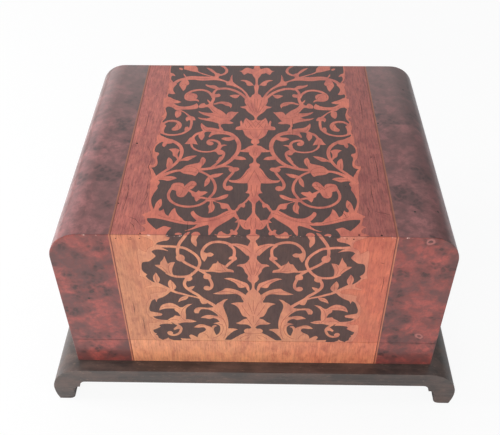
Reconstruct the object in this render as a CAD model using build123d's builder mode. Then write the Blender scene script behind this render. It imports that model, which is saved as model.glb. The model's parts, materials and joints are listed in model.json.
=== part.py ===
from build123d import *
import math
import os

# An inlaid wooden box on a low stand. The box has rounded shoulders at its left and right, and a deep
# lid that is hinged along the back of a shallow tray. Tray and lid are boards under thin veneers: burl at
# both ends, and between them a light band, edged with strings, that holds the dark marquetry grounds.
# The stand is a board on two foot rails, whose corners are rounded over and whose toes curl in.
# +X is to the right, +Y to the back and +Z up. The origin is on the floor, under the middle of the box.

# Box, measured over its veneers
box_width = 300.0
box_depth = 236.0
box_height = 148.5  # above the stand
shoulder_radius = 24.0
seam_height = 28.5  # the tray's rim above the stand
seam_gap = 0.3  # between the tray's rim and the closed lid
veneer = 0.9

# Boards and how they join
board = 9.0  # front, back, sides and top
rebate = 4.0  # how deep the front and back boards lap over the others
tongue = 3.5  # how far a tongue reaches into its groove
tongue_thickness = 3.0
glue_gap = 0.1  # round tongues, and along curved seams
bottom_thickness = 8.0
bottom_tongue_lift = 2.5  # from the underside of the bottom board to its tongue

# Band, strings and grounds
band_half_width = 103.5  # to the outer edge of the light string
light_string = 1.2
dark_string = 0.6
ground_border = 16.7  # light wood left between the strings and the tips of a ground's lobes
lobe_depth = 3.0
lobe_pitch = 40.0  # about the length of one lobe
ground_margin = 1.5  # light wood between a face's ground and the rim of the lid

# Lining of the tray
lining_thickness = 1.4
lining_drop = 1.0  # from the tray's rim to the top of the lining

# Stand
stand_height = 41.0
stand_side_overhang = 23.0
stand_front_overhang = 11.0
stand_board_thickness = 16.0
stand_corner_radius = 26.0
facing = 1.0  # over the front and back edges of the stand's board
facing_joint_x = 5.0  # where the two lengths of a facing meet
toe_curl = 2.5  # how far the outside of the toe comes in towards the floor
sole_width = 8.0
toe_width = 16.5  # from the outside of the stand to the throat behind the toe
toe_height = 5.0  # of the round at the inside of the toe
throat_height = 9.5
bracket_lower = (4.5, 8.0)  # width and height of the hollow above the throat
bracket_step = 1.5
bracket_top = 5.5  # width of the hollow under the board

# Dowels between the stand's board and its foot rails
dowel_radius = 3.0
dowel_depth = 8.0  # into each piece
dowel_inset = 11.5  # from the outside of the stand
dowel_end_inset = 39.0  # from the front and back of the stand to the end dowels
dowel_count = 3
dowel_clearance = 0.05

# Screws that hold the tray on the stand
stand_screw_inset_x = 50.0  # from the sides of the box
stand_screw_inset_y = 43.0  # from its front and back
stand_screw_radius = 2.0
stand_screw_head = 4.0
stand_screw_length = 21.0
stand_screw_recess = 0.5
screw_clearance = 0.05
slot_width = 0.6
slot_depth = 0.6

# Hinges
hinge_inset = 26.0  # from the side of the box to the middle of a hinge
hinge_length = 30.0
leaf_thickness = 1.4
leaf_width = 8.2
heel_height = 9.0  # of the leaf's upright flange, from the seam
heel_out = 3.6  # how far the stop reaches behind the pin
knuckle_radius = 2.6
knuckle_count = 5
knuckle_gap = 0.3  # beside and round a knuckle
barrel_gap = 0.4  # between the barrel and the back of the box
pin_radius = 1.1
pin_clearance = 0.05
pin_head = 0.8
opening_angle = 95.0
stop_gap = 1.0  # degrees left between the stops when the lid is open
hinge_screw_radius = 1.2
hinge_screw_head = 2.2
hinge_screw_length = 9.0
hinge_screw_pitch = 10.0
hinge_screw_count = 3
pocket_gap = 0.1  # round a leaf that is let into a rim

# Places worked out from those sizes
half_width = box_width / 2
half_depth = box_depth / 2
box_top = stand_height + box_height
rim = stand_height + seam_height
lid_low = rim + seam_gap
carcase_half_width = half_width - veneer
carcase_half_depth = half_depth - veneer
carcase_top = box_top - veneer
inside_half_width = carcase_half_width - board
inside_half_depth = carcase_half_depth - board
inside_top = carcase_top - board
shell_half_depth = inside_half_depth + rebate
shoulder_x = half_width - shoulder_radius
shoulder_z = box_top - shoulder_radius
string_inner = band_half_width - light_string
band_inner = string_inner - dark_string
ground_half_width = band_inner - ground_border
stand_half_width = half_width + stand_side_overhang
stand_half_depth = half_depth + stand_front_overhang
stand_board_half_depth = stand_half_depth - facing
stand_underside = stand_height - stand_board_thickness
barrel_out = barrel_gap + knuckle_radius  # from the back of the box to the pin
axis_y = half_depth + barrel_out
axis_z = rim + seam_gap / 2
hinge_x = half_width - hinge_inset
bottom_top = stand_height + bottom_thickness
beyond = 2 * (box_width + box_depth)  # larger than the whole box, for cutting tools

quarter = 90  # degrees
along_x = (0, quarter, 0)  # turns a cylinder to lie along X
hands = {"left": -1, "right": 1}
faces = {"front": -1, "back": 1}
standing = (Align.CENTER, Align.CENTER, Align.MIN)
hanging = (Align.CENTER, Align.CENTER, Align.MAX)

os.makedirs("parts", exist_ok=True)


def write(built, name):
    """Labels a finished piece and writes its STEP file."""
    built.part.label = name
    export_step(built.part, f"parts/{name}.step")


# An upright sketch seen from the front has X to the right and Z up. Extruded, it grows towards the front,
# so it is drawn on the plane of the piece's rear face.
def rear_plane(face, outer, thickness):
    """The rear face of a piece whose outer face is this far in front of the middle, or behind it."""
    rear = outer if faces[face] > 0 else thickness - outer
    return Plane.XZ.offset(-rear)


def arch(inset, low, gap=0.0):
    """The box's outline seen from the front, drawn in by an inset and a gap, down to a height."""
    half = half_width - inset - gap
    with BuildSketch() as outline:
        with Locations((0, low)):
            Rectangle(2 * half, box_top - inset - gap - low, align=(Align.CENTER, Align.MIN))
        fillet(outline.vertices().group_by(Axis.Y)[-1], shoulder_radius - inset - gap)
    return outline.sketch


def bounded(x_low, x_high, y_low, y_high):
    """A rectangle between two places each way."""
    with BuildSketch() as area:
        with Locations(((x_low + x_high) / 2, (y_low + y_high) / 2)):
            Rectangle(x_high - x_low, y_high - y_low)
    return area.sketch


def lobed(low, high, gap=0.0):
    """A ground: straight ends, and a row of round lobes down each side."""
    lobes = max(1, round((high - low) / lobe_pitch))
    pitch = (high - low) / lobes
    waist = ground_half_width - lobe_depth - gap
    with BuildSketch() as area:
        with BuildLine():
            for side in (-1, 1):
                for n in range(lobes):
                    foot = low + n * pitch
                    ThreePointArc(
                        (side * waist, foot),
                        (side * (ground_half_width - gap), foot + pitch / 2),
                        (side * waist, foot + pitch),
                    )
            Line((-waist, low), (waist, low))
            Line((-waist, high), (waist, high))
        make_face()
    return area.sketch


def screw(head_radius, shank_radius, length):
    """A countersunk screw with a slotted head. Its face is at the origin and it points down."""
    taper = head_radius - shank_radius
    with BuildPart() as body:
        Cylinder(shank_radius, length - shank_radius, align=hanging)
        with Locations((0, 0, shank_radius - length)):
            Cone(shank_radius, 0, shank_radius, rotation=(180, 0, 0), align=standing)
        Cone(shank_radius, head_radius, taper, align=hanging)
        Box(2 * head_radius, slot_width, slot_depth, align=hanging, mode=Mode.SUBTRACT)
    return body.part


# Stand
def stand_outline():
    """The stand seen from the front: rounded over at both ends, down to toes that curl in."""
    corner_x = stand_half_width - stand_corner_radius
    corner_z = stand_height - stand_corner_radius
    sole_outer = stand_half_width - toe_curl
    sole_inner = sole_outer - sole_width
    throat = stand_half_width - toe_width
    hollow = throat - bracket_lower[0]
    hollow_top = throat_height + bracket_lower[1]
    step = hollow - bracket_step
    apron_x = step - bracket_top
    toe_inner = sole_inner - throat
    top_rise = stand_underside - hollow_top
    with BuildSketch() as outline:
        with BuildLine():
            Line((0, stand_height), (corner_x, stand_height))
            CenterArc((corner_x, corner_z), stand_corner_radius, 0, quarter)
            TangentArc((stand_half_width, corner_z), (sole_outer, 0), tangent=(0, -1))
            Line((sole_outer, 0), (sole_inner, 0))
            EllipticalCenterArc((sole_inner, toe_height), toe_inner, toe_height, 180, arc_size=quarter)
            Line((throat, toe_height), (throat, throat_height))
            EllipticalCenterArc((hollow, throat_height), *bracket_lower, arc_size=quarter)
            Line((hollow, hollow_top), (step, hollow_top))
            EllipticalCenterArc((apron_x, hollow_top), bracket_top, top_rise, arc_size=quarter)
            Line((apron_x, stand_underside), (0, stand_underside))
            Line((0, stand_underside), (0, stand_height))
        make_face()
        mirror(about=Plane.YZ)
    return outline.sketch


def dowel_places():
    """Where the dowels stand, in a row along each foot rail."""
    dowel_pitch = 2 * (stand_half_depth - dowel_end_inset) / (dowel_count - 1)
    return GridLocations(2 * (stand_half_width - dowel_inset), dowel_pitch, 2, dowel_count)


def stand_screw_places():
    """The corners of the rectangle that the stand's screws make."""
    spacing_x = 2 * (half_width - stand_screw_inset_x)
    spacing_y = 2 * (half_depth - stand_screw_inset_y)
    return GridLocations(spacing_x, spacing_y, 2, 2)


underneath = Plane(origin=(0, 0, stand_underside), x_dir=(1, 0, 0), z_dir=(0, 0, -1))

with BuildPart() as stand_board:
    with BuildSketch(Plane.XZ.offset(-stand_board_half_depth)):
        add(stand_outline())
        add(bounded(-beyond, beyond, stand_underside, stand_height), mode=Mode.INTERSECT)
    extrude(amount=2 * stand_board_half_depth)
    with Locations((0, 0, stand_underside)), dowel_places():
        Cylinder(
            dowel_radius + dowel_clearance,
            dowel_depth + dowel_clearance,
            align=standing,
            mode=Mode.SUBTRACT,
        )
    with Locations(underneath), stand_screw_places():
        CounterSinkHole(
            stand_screw_radius + screw_clearance,
            stand_screw_head + stand_screw_recess + screw_clearance,
            depth=stand_board_thickness,
        )
write(stand_board, "stand_board")

for hand, side in hands.items():
    with BuildPart() as foot_rail:
        with BuildSketch(Plane.XZ.offset(-stand_half_depth)):
            add(stand_outline())
            ends = sorted((0, side * beyond))
            add(bounded(*ends, 0, stand_underside), mode=Mode.INTERSECT)
        extrude(amount=2 * stand_half_depth)
        with Locations((0, 0, stand_underside)), dowel_places():
            Cylinder(
                dowel_radius + dowel_clearance,
                dowel_depth + dowel_clearance,
                align=hanging,
                mode=Mode.SUBTRACT,
            )
    write(foot_rail, f"foot_rail_{hand}")

for face in faces:
    lengths = {"left": (-beyond, facing_joint_x), "right": (facing_joint_x, beyond)}
    for hand, ends in lengths.items():
        with BuildPart() as stand_facing:
            with BuildSketch(rear_plane(face, stand_half_depth, facing)):
                add(stand_outline())
                add(bounded(*ends, stand_underside, stand_height), mode=Mode.INTERSECT)
            extrude(amount=facing)
        write(stand_facing, f"stand_{face}_facing_{hand}")

with BuildPart() as stand_dowels:
    with Locations((0, 0, stand_underside)), dowel_places():
        Cylinder(dowel_radius, 2 * dowel_depth)
write(stand_dowels, "stand_dowels")

with BuildPart() as stand_screws:
    with Locations(underneath.offset(-stand_screw_recess)), stand_screw_places():
        add(screw(stand_screw_head, stand_screw_radius, stand_screw_length))
write(stand_screws, "stand_screws")


# Hinges. One hinge is drawn about its pin, which runs along X through the origin.
knuckle_length = (hinge_length - (knuckle_count - 1) * knuckle_gap) / knuckle_count
knuckle_pitch = knuckle_length + knuckle_gap
leaf_face = seam_gap / 2  # from the pin to the face of a leaf that lies against the seam
leaf_middle = -barrel_out - leaf_width / 2


def hinge_screw_places():
    """A row of screws along one leaf."""
    return GridLocations(hinge_screw_pitch, 0, hinge_screw_count, 1)


def hinge_leaf(first_knuckle):
    """The lid's leaf: a plate, a flange up the back of the box, a stop and every other knuckle."""
    stop = math.radians((opening_angle + stop_gap) / 2)
    own = [n for n in range(knuckle_count) if n % 2 == first_knuckle]
    others = [n for n in range(knuckle_count) if n % 2 != first_knuckle]
    with BuildPart() as leaf:
        with BuildSketch(Plane.YZ.offset(-hinge_length / 2)):
            with BuildLine():
                Polyline(
                    (-barrel_out - leaf_width, leaf_face),
                    (0, leaf_face),
                    (0, knuckle_radius),
                    (knuckle_radius * math.cos(stop), knuckle_radius * math.sin(stop)),
                    (heel_out, heel_out * math.tan(stop)),
                    (leaf_thickness - barrel_out, heel_height),
                    (-barrel_out, heel_height),
                    (-barrel_out, leaf_face + leaf_thickness),
                    (-barrel_out - leaf_width, leaf_face + leaf_thickness),
                    close=True,
                )
            make_face()
        extrude(amount=hinge_length)
        for n in others:
            with Locations(((n - (knuckle_count - 1) / 2) * knuckle_pitch, 0, 0)):
                Cylinder(
                    knuckle_radius + knuckle_gap,
                    knuckle_length + 2 * knuckle_gap,
                    rotation=along_x,
                    mode=Mode.SUBTRACT,
                )
        for n in own:
            with Locations(((n - (knuckle_count - 1) / 2) * knuckle_pitch, 0, 0)):
                Cylinder(knuckle_radius, knuckle_length, rotation=along_x)
        Cylinder(pin_radius + pin_clearance, hinge_length, rotation=along_x, mode=Mode.SUBTRACT)
        seam_side = Plane(origin=(0, leaf_middle, leaf_face), x_dir=(1, 0, 0), z_dir=(0, 0, -1))
        with Locations(seam_side), hinge_screw_places():
            CounterSinkHole(
                hinge_screw_radius + screw_clearance,
                hinge_screw_head + screw_clearance,
                depth=leaf_thickness,
            )
    return leaf.part


def tray_side(shape):
    """The same shape turned over, for the tray's half of the hinge."""
    with BuildPart() as turned:
        mirror(shape, about=Plane.XY)
    return turned.part


for hand, side in hands.items():
    pin_middle = Location((side * hinge_x, axis_y, axis_z))
    with BuildPart() as tray_leaf:
        with Locations(pin_middle):
            add(tray_side(hinge_leaf(0)))
    write(tray_leaf, f"hinge_{hand}_tray_leaf")

    with BuildPart() as lid_leaf:
        with Locations(pin_middle):
            add(hinge_leaf(1))
    write(lid_leaf, f"hinge_{hand}_lid_leaf")

    with BuildPart() as pin:
        with Locations(pin_middle):
            Cylinder(pin_radius, hinge_length + 2 * pin_clearance, rotation=along_x)
        for end in (-1, 1):
            head_x = side * hinge_x + end * (hinge_length / 2 + pin_clearance + pin_head / 2)
            with Locations((head_x, axis_y, axis_z)):
                Cylinder((pin_radius + knuckle_radius) / 2, pin_head, rotation=along_x)
    write(pin, f"hinge_{hand}_pin")


def hinge_screws(upright):
    """The screws of both hinges, pointing up into the lid or down into the tray."""
    middle = (0, axis_y + leaf_middle, axis_z + upright * leaf_face)
    seam_side = Plane(origin=middle, x_dir=(1, 0, 0), z_dir=(0, 0, -upright))
    with BuildPart() as screws:
        with Locations(seam_side), GridLocations(2 * hinge_x, 0, 2, 1), hinge_screw_places():
            add(screw(hinge_screw_head, hinge_screw_radius, hinge_screw_length))
    return screws


def hinge_seats(upright):
    """What the hinges take out of the back of the lid or of the tray: pockets and screw holes."""
    face_z = axis_z + upright * leaf_face
    rise = standing if upright > 0 else hanging
    with BuildPart() as seats:
        with GridLocations(2 * hinge_x, 0, 2, 1):
            with Locations((0, axis_y + leaf_middle, face_z)):
                Box(
                    hinge_length + 2 * pocket_gap,
                    leaf_width + 2 * pocket_gap,
                    leaf_thickness,
                    align=rise,
                )
                with hinge_screw_places():
                    Cylinder(
                        hinge_screw_radius + screw_clearance,
                        hinge_screw_length + screw_clearance,
                        align=rise,
                    )
    return seats.part


write(hinge_screws(1), "hinge_lid_screws")
write(hinge_screws(-1), "hinge_tray_screws")
lid_hinge_seats = hinge_seats(1)
tray_hinge_seats = hinge_seats(-1)


# Tray
def bottom_tongue(gap=0.0):
    """The tongue round the bottom board, or the groove for it."""
    with BuildPart() as plate:
        with Locations((0, 0, stand_height + bottom_tongue_lift - gap)):
            Box(
                2 * (inside_half_width + tongue + gap),
                2 * (inside_half_depth + tongue + gap),
                tongue_thickness + 2 * gap,
                align=standing,
            )
    return plate.part


bottom_groove = bottom_tongue(glue_gap)

with BuildPart() as tray_bottom_board:
    with Locations((0, 0, stand_height)):
        Box(2 * inside_half_width, 2 * inside_half_depth, bottom_thickness, align=standing)
    add(bottom_tongue())
    with Locations((0, 0, stand_height)), stand_screw_places():
        Cylinder(
            stand_screw_radius + screw_clearance,
            stand_screw_length + stand_screw_recess + screw_clearance - stand_board_thickness,
            align=standing,
            mode=Mode.SUBTRACT,
        )
write(tray_bottom_board, "tray_bottom_board")

for face in faces:
    with BuildPart() as tray_rail:
        with BuildSketch(rear_plane(face, carcase_half_depth, board - rebate)):
            add(bounded(-carcase_half_width, carcase_half_width, stand_height, rim))
        extrude(amount=board - rebate)
        with BuildSketch(rear_plane(face, shell_half_depth, rebate)):
            add(bounded(-inside_half_width, inside_half_width, stand_height, rim))
        extrude(amount=rebate)
        add(bottom_groove, mode=Mode.SUBTRACT)
        add(tray_hinge_seats, mode=Mode.SUBTRACT)
    write(tray_rail, f"tray_{face}_rail")

for hand, side in hands.items():
    with BuildPart() as tray_rail:
        with Locations((side * (inside_half_width + board / 2), 0, stand_height)):
            Box(board, 2 * shell_half_depth, seam_height, align=standing)
        add(bottom_groove, mode=Mode.SUBTRACT)
    write(tray_rail, f"tray_{hand}_rail")

    with BuildPart() as tray_side_burl:
        with Locations((side * (half_width - veneer / 2), 0, stand_height)):
            Box(veneer, 2 * carcase_half_depth, seam_height, align=standing)
    write(tray_side_burl, f"tray_side_burl_{hand}")

with BuildPart() as tray_lining:
    lining_height = rim - lining_drop - bottom_top
    with Locations((0, 0, bottom_top)):
        Box(2 * inside_half_width, 2 * inside_half_depth, lining_height, align=standing)
    with Locations((0, 0, bottom_top + lining_thickness)):
        Box(
            2 * (inside_half_width - lining_thickness),
            2 * (inside_half_depth - lining_thickness),
            lining_height,
            align=standing,
            mode=Mode.SUBTRACT,
        )
write(tray_lining, "tray_lining")

# Lid: a shell of boards and shoulder blocks, set into rebates in the front and back boards
top_groove_z = carcase_top - board / 2
side_groove_x = carcase_half_width - board / 2


def tongues(gap=0.0):
    """The tongues of both shoulder blocks seen from the front, or the grooves for them."""
    with BuildSketch() as area:
        for side in (-1, 1):
            with Locations((side * (shoulder_x - (tongue + gap) / 2), top_groove_z)):
                Rectangle(tongue + gap, tongue_thickness + 2 * gap)
            with Locations((side * side_groove_x, shoulder_z - (tongue + gap) / 2)):
                Rectangle(tongue_thickness + 2 * gap, tongue + gap)
    return area.sketch


for face in faces:
    with BuildPart() as lid_board:
        with BuildSketch(rear_plane(face, carcase_half_depth, board - rebate)):
            add(arch(veneer, lid_low, glue_gap))
        extrude(amount=board - rebate)
        with BuildSketch(rear_plane(face, shell_half_depth, rebate)):
            add(arch(veneer + board, lid_low, glue_gap))
        extrude(amount=rebate)
        add(lid_hinge_seats, mode=Mode.SUBTRACT)
    write(lid_board, f"lid_{face}_board")

with BuildPart() as lid_top_board:
    with BuildSketch(Plane.XZ.offset(-shell_half_depth)):
        add(bounded(-shoulder_x, shoulder_x, inside_top, carcase_top))
        add(tongues(glue_gap), mode=Mode.SUBTRACT)
    extrude(amount=2 * shell_half_depth)
write(lid_top_board, "lid_top_board")

for hand, side in hands.items():
    with BuildPart() as lid_side_board:
        with BuildSketch(Plane.XZ.offset(-shell_half_depth)):
            edges = sorted((side * inside_half_width, side * carcase_half_width))
            add(bounded(*edges, lid_low, shoulder_z))
            add(tongues(glue_gap), mode=Mode.SUBTRACT)
        extrude(amount=2 * shell_half_depth)
    write(lid_side_board, f"lid_{hand}_board")

    with BuildPart() as lid_shoulder:
        with BuildSketch(Plane.XZ.offset(-shell_half_depth)):
            add(arch(veneer, lid_low, glue_gap))
            add(arch(veneer + board, lid_low), mode=Mode.SUBTRACT)
            ends = sorted((side * shoulder_x, side * beyond))
            add(bounded(*ends, shoulder_z, box_top), mode=Mode.INTERSECT)
            ends = sorted((0, side * beyond))
            with BuildSketch(mode=Mode.PRIVATE) as own_tongues:
                add(tongues())
                add(bounded(*ends, 0, box_top), mode=Mode.INTERSECT)
            add(own_tongues.sketch)
        extrude(amount=2 * shell_half_depth)
    write(lid_shoulder, f"lid_{hand}_shoulder")

    with BuildPart() as burl_wrap:
        with BuildSketch(Plane.XZ.offset(-carcase_half_depth)):
            add(arch(0, lid_low))
            add(arch(veneer, lid_low), mode=Mode.SUBTRACT)
            ends = sorted((side * band_half_width, side * beyond))
            add(bounded(*ends, lid_low, box_top), mode=Mode.INTERSECT)
        extrude(amount=2 * carcase_half_depth)
    write(burl_wrap, f"lid_burl_wrap_{hand}")

# Veneers of the front and back faces, on the tray and on the lid
heights = {"tray": (stand_height, rim), "lid": (lid_low, box_top)}
hinge_seats_of = {"tray": tray_hinge_seats, "lid": lid_hinge_seats}
ground_low = lid_low + ground_margin

for shell, (low, high) in heights.items():
    for face in faces:
        veneer_plane = rear_plane(face, half_depth, veneer)
        for hand, side in hands.items():
            with BuildPart() as face_burl:
                with BuildSketch(veneer_plane):
                    add(arch(0, low))
                    ends = sorted((side * band_half_width, side * beyond))
                    add(bounded(*ends, low, high), mode=Mode.INTERSECT)
                extrude(amount=veneer)
                add(hinge_seats_of[shell], mode=Mode.SUBTRACT)
            write(face_burl, f"{shell}_{face}_burl_{hand}")

        with BuildPart() as face_band:
            with BuildSketch(veneer_plane):
                add(bounded(-band_inner, band_inner, low, high))
                if shell == "lid":
                    add(lobed(ground_low, high), mode=Mode.SUBTRACT)
            extrude(amount=veneer)
        write(face_band, f"{shell}_{face}_band")

for face in faces:
    with BuildPart() as face_ground:
        with BuildSketch(rear_plane(face, half_depth, veneer)):
            add(lobed(ground_low + glue_gap, box_top, glue_gap))
        extrude(amount=veneer)
    write(face_ground, f"lid_{face}_ground")

# Veneers of the top, between those of the front and back
with BuildPart() as lid_top_ground:
    with BuildSketch(Plane.XY.offset(carcase_top)):
        add(lobed(-carcase_half_depth, carcase_half_depth, glue_gap))
    extrude(amount=veneer)
write(lid_top_ground, "lid_top_ground")

for hand, side in hands.items():
    with BuildPart() as top_band:
        with BuildSketch(Plane.XY.offset(carcase_top)):
            ends = sorted((0, side * band_inner))
            add(bounded(*ends, -carcase_half_depth, carcase_half_depth))
            add(lobed(-carcase_half_depth, carcase_half_depth), mode=Mode.SUBTRACT)
        extrude(amount=veneer)
    write(top_band, f"lid_top_band_{hand}")

# Strings, from the middle of the box outwards: a thin dark line, then a light one
strings = {"dark_strings": (band_inner, string_inner), "light_strings": (string_inner, band_half_width)}
for name, (inner, outer) in strings.items():
    for shell, (low, high) in heights.items():
        with BuildPart() as face_strings:
            with Locations((0, 0, low)), GridLocations(inner + outer, 2 * half_depth - veneer, 2, 2):
                Box(outer - inner, veneer, high - low, align=standing)
        write(face_strings, f"{shell}_{name}")

    with BuildPart() as top_strings:
        with Locations((0, 0, carcase_top)), GridLocations(inner + outer, 0, 2, 1):
            Box(outer - inner, 2 * carcase_half_depth, veneer, align=standing)
    write(top_strings, f"lid_top_{name}")
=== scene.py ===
"""Inlaid casket on a scroll-footed stand: the finish of every surface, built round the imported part."""

import json
import math
import random

import bmesh
import bpy
import numpy as np
from bpy.props import FloatProperty, FloatVectorProperty, PointerProperty
from mathutils import Matrix, Vector
from mathutils.geometry import delaunay_2d_cdt

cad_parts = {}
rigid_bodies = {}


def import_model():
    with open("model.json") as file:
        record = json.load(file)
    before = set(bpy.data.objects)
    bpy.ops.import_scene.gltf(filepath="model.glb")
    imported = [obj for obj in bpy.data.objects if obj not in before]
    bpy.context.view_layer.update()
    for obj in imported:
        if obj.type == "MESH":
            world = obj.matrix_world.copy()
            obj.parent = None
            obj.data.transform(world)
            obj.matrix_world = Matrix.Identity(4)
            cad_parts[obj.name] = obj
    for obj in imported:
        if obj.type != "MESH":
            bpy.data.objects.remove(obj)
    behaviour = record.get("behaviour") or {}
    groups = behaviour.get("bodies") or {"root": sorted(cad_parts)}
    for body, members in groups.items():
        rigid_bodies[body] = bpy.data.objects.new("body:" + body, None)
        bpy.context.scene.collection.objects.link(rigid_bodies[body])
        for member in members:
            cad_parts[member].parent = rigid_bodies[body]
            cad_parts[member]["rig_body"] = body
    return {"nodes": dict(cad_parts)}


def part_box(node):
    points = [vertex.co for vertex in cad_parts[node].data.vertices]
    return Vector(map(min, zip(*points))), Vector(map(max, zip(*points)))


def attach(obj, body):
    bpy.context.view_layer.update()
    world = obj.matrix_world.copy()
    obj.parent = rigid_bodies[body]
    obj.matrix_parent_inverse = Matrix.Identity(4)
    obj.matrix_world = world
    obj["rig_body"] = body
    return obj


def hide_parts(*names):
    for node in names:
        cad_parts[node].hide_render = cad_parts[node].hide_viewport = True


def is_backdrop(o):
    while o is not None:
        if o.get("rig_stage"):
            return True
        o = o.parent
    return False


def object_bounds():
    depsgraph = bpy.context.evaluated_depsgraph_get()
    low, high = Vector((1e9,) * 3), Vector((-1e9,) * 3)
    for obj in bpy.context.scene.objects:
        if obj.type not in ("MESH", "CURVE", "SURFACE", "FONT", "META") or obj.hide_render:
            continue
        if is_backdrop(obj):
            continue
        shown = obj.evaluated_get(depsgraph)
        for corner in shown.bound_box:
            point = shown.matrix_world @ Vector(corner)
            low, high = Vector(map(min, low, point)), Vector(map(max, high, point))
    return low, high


bl_info = {
    "name": "Inlaid casket",
    "version": (1, 0, 0),
    "blender": (4, 5, 0),
    "location": "View3D > Sidebar > Casket",
    "description": "Dresses the packed casket: veneers, marquetry, ebonised stand, lining and brass",
    "category": "Object",
}

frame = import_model()
CAD_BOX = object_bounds()

MM = 0.001
WELD = 1e-6  # vertices nearer than this, in metres, are one
TOUCH = 1e-5  # a point nearer than this to a surface, in metres, lies on it

# Places that the finish takes from the part
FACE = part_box("lid_front_band")
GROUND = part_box("lid_front_ground")
TOP_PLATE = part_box("lid_top_ground")
STAND_FACE = -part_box("stand_front_facing_left")[0].y
HALF_WIDTH = -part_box("lid_burl_wrap_left")[0].x
SHOULDER_RADIUS = 24 * MM

# The same in mm
FACE_Y = FACE[0].y / MM
JOINT_Y = TOP_PLATE[1].y / MM  # where the top veneer meets the face panels
STRING_X = 103.0  # the middle of the light strings
ARRIS_SUM = (TOP_PLATE[1].z - FACE[0].y) / MM  # height of the top arris plus its distance from the middle


def linear(code):
    """An sRGB hex colour as linear red, green, blue and alpha."""
    channels = [int(code[i : i + 2], 16) / 255 for i in (1, 3, 5)]
    return [c / 12.92 if c <= 0.04045 else ((c + 0.055) / 1.055) ** 2.4 for c in channels] + [1.0]


# ---------------------------------------------------------------- settings a user may change


def length(name, description, default):
    """A length in metres for a settings group, given in millimetres."""
    return FloatProperty(
        name=name, description=description, default=default * MM, min=0, unit="LENGTH", precision=5
    )


def colour(name, description, code):
    """A colour for a settings group, given as sRGB hex."""
    return FloatVectorProperty(
        name=name, description=description, default=linear(code), size=4, min=0, max=1, subtype="COLOR"
    )


class CasketSizes(bpy.types.PropertyGroup):
    """Sizes that only the finish uses; the part's own sizes come from the frame."""

    veneer_arris: length("Veneer arris", "Rounding worn on the outer edges of the veneers", 0.45)
    stand_arris: length("Stand arris", "Rounding on the edges of the stand", 0.9)
    brass_arris: length("Brass arris", "Rounding on the hinge leaves", 0.2)


class CasketColours(bpy.types.PropertyGroup):
    """Colours of the woods, metals and cloth."""

    burl: colour("Burl", "Middle tone of the burl veneer", "#954740")
    # Greyer than the face burl: partly the wood's tone, partly painted reflection of the polish's sheen on
    # the top
    burl_top: colour("Burl, top", "Middle tone of the burl that wraps the top and sides", "#885352")
    burl_dark: colour("Burl eyes", "Eyes and smoky clusters of the burl", "#402A29")
    band_left: colour("Band, left", "Satinwood bands of the face on the left, bleached by light", "#BC7B5A")
    band_right: colour("Band, right", "Satinwood bands of the face on the right", "#BE644C")
    top_left: colour("Top band, left", "Satinwood band of the top on the left", "#B56256")
    top_right: colour("Top band, right", "Satinwood band of the top on the right", "#9A5149")
    scroll_left: colour("Scrollwork, left", "Scrollwork of the front and back, on the left", "#BE805E")
    scroll_right: colour("Scrollwork, right", "Scrollwork of the front and back, on the right", "#B86E57")
    scroll_top: colour("Scrollwork, top", "Scrollwork of the top", "#BA6350")
    ground: colour("Ground", "Dark ground of the marquetry", "#4A312C")
    light_string: colour("Light string", "Boxwood line beside the bands", "#B87458")
    dark_string: colour("Dark string", "Stained line beside the bands", "#6E352B")
    engraving: colour("Engraving", "Mastic in the engraved lines and round the scrollwork", "#8A4032")
    ebonised: colour("Ebonised wood", "Stained wood of the stand", "#423A37")
    lining: colour("Lining", "Velvet of the tray", "#5B1420")
    brass: colour("Brass", "Hinges and their screws", "#B08D4A")


# ---------------------------------------------------------------- nodes

MATH = "ShaderNodeMath"
VECTOR_MATH = "ShaderNodeVectorMath"
MAPPING = "ShaderNodeMapping"
RAMP = "ShaderNodeValToRGB"
MIX = "ShaderNodeMix"
SPLIT = "ShaderNodeSeparateXYZ"

# Inputs of a mix node that mixes colours: the share, the colour under and the colour over
SHARE, UNDER, OVER = 0, 6, 7


def add(tree, kind, inputs=None, stops=(), **settings):
    """Adds a node with its settings, the stops of its ramp and its inputs.

    An input takes a value, another node's output, or another node for the first output that it uses.
    """
    node = tree.nodes.new(kind)
    for name, value in settings.items():
        setattr(node, name, value)
    for _ in stops[2:]:
        node.color_ramp.elements.new(0.5)
    for index, (position, tone) in enumerate(stops):
        point = node.color_ramp.elements[index]
        point.position = position
        point.color = tone if hasattr(tone, "__len__") else grey(tone)
    for key, value in (inputs or {}).items():
        if isinstance(value, bpy.types.Node):
            value = next(output for output in value.outputs if output.enabled)
        if isinstance(value, bpy.types.NodeSocket):
            tree.links.new(value, node.inputs[key])
        else:
            node.inputs[key].default_value = value
    return node


def grey(level):
    """A grey as linear red, green, blue and alpha."""
    return (level, level, level, 1.0)


def shade(tone, amount):
    """A colour made lighter or darker by a factor."""
    return [min(1.0, channel * amount) for channel in tone[:3]] + [1.0]


def shades(tone, *stops):
    """Stops of a ramp through lighter and darker shades of a tone, from (position, factor) pairs."""
    return [(position, shade(tone, amount)) for position, amount in stops]


def per_mm(size):
    """The scale that gives a pattern's largest forms a size in mm: one for all axes, or one for each."""
    sizes = size if hasattr(size, "__len__") else (size, size, size)
    return [1 / (s * MM) for s in sizes]


def axes(tree, place):
    """The three coordinates of a place, each in mm."""
    scaled = add(tree, VECTOR_MATH, {0: place, "Scale": 1 / MM}, operation="SCALE")
    return add(tree, SPLIT, {"Vector": scaled}).outputs


def figure(tree, place, size, detail=3, rough=0.5, warp=0.0, turn=(0, 0, 0)):
    """A natural figure of 0 to 1 whose largest forms have the given size in mm."""
    mapped = add(tree, MAPPING, {"Vector": place, "Scale": per_mm(size), "Rotation": turn})
    inputs = {"Vector": mapped, "Scale": 1.0, "Detail": detail, "Roughness": rough, "Distortion": warp}
    return add(tree, "ShaderNodeTexNoise", inputs)


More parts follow.
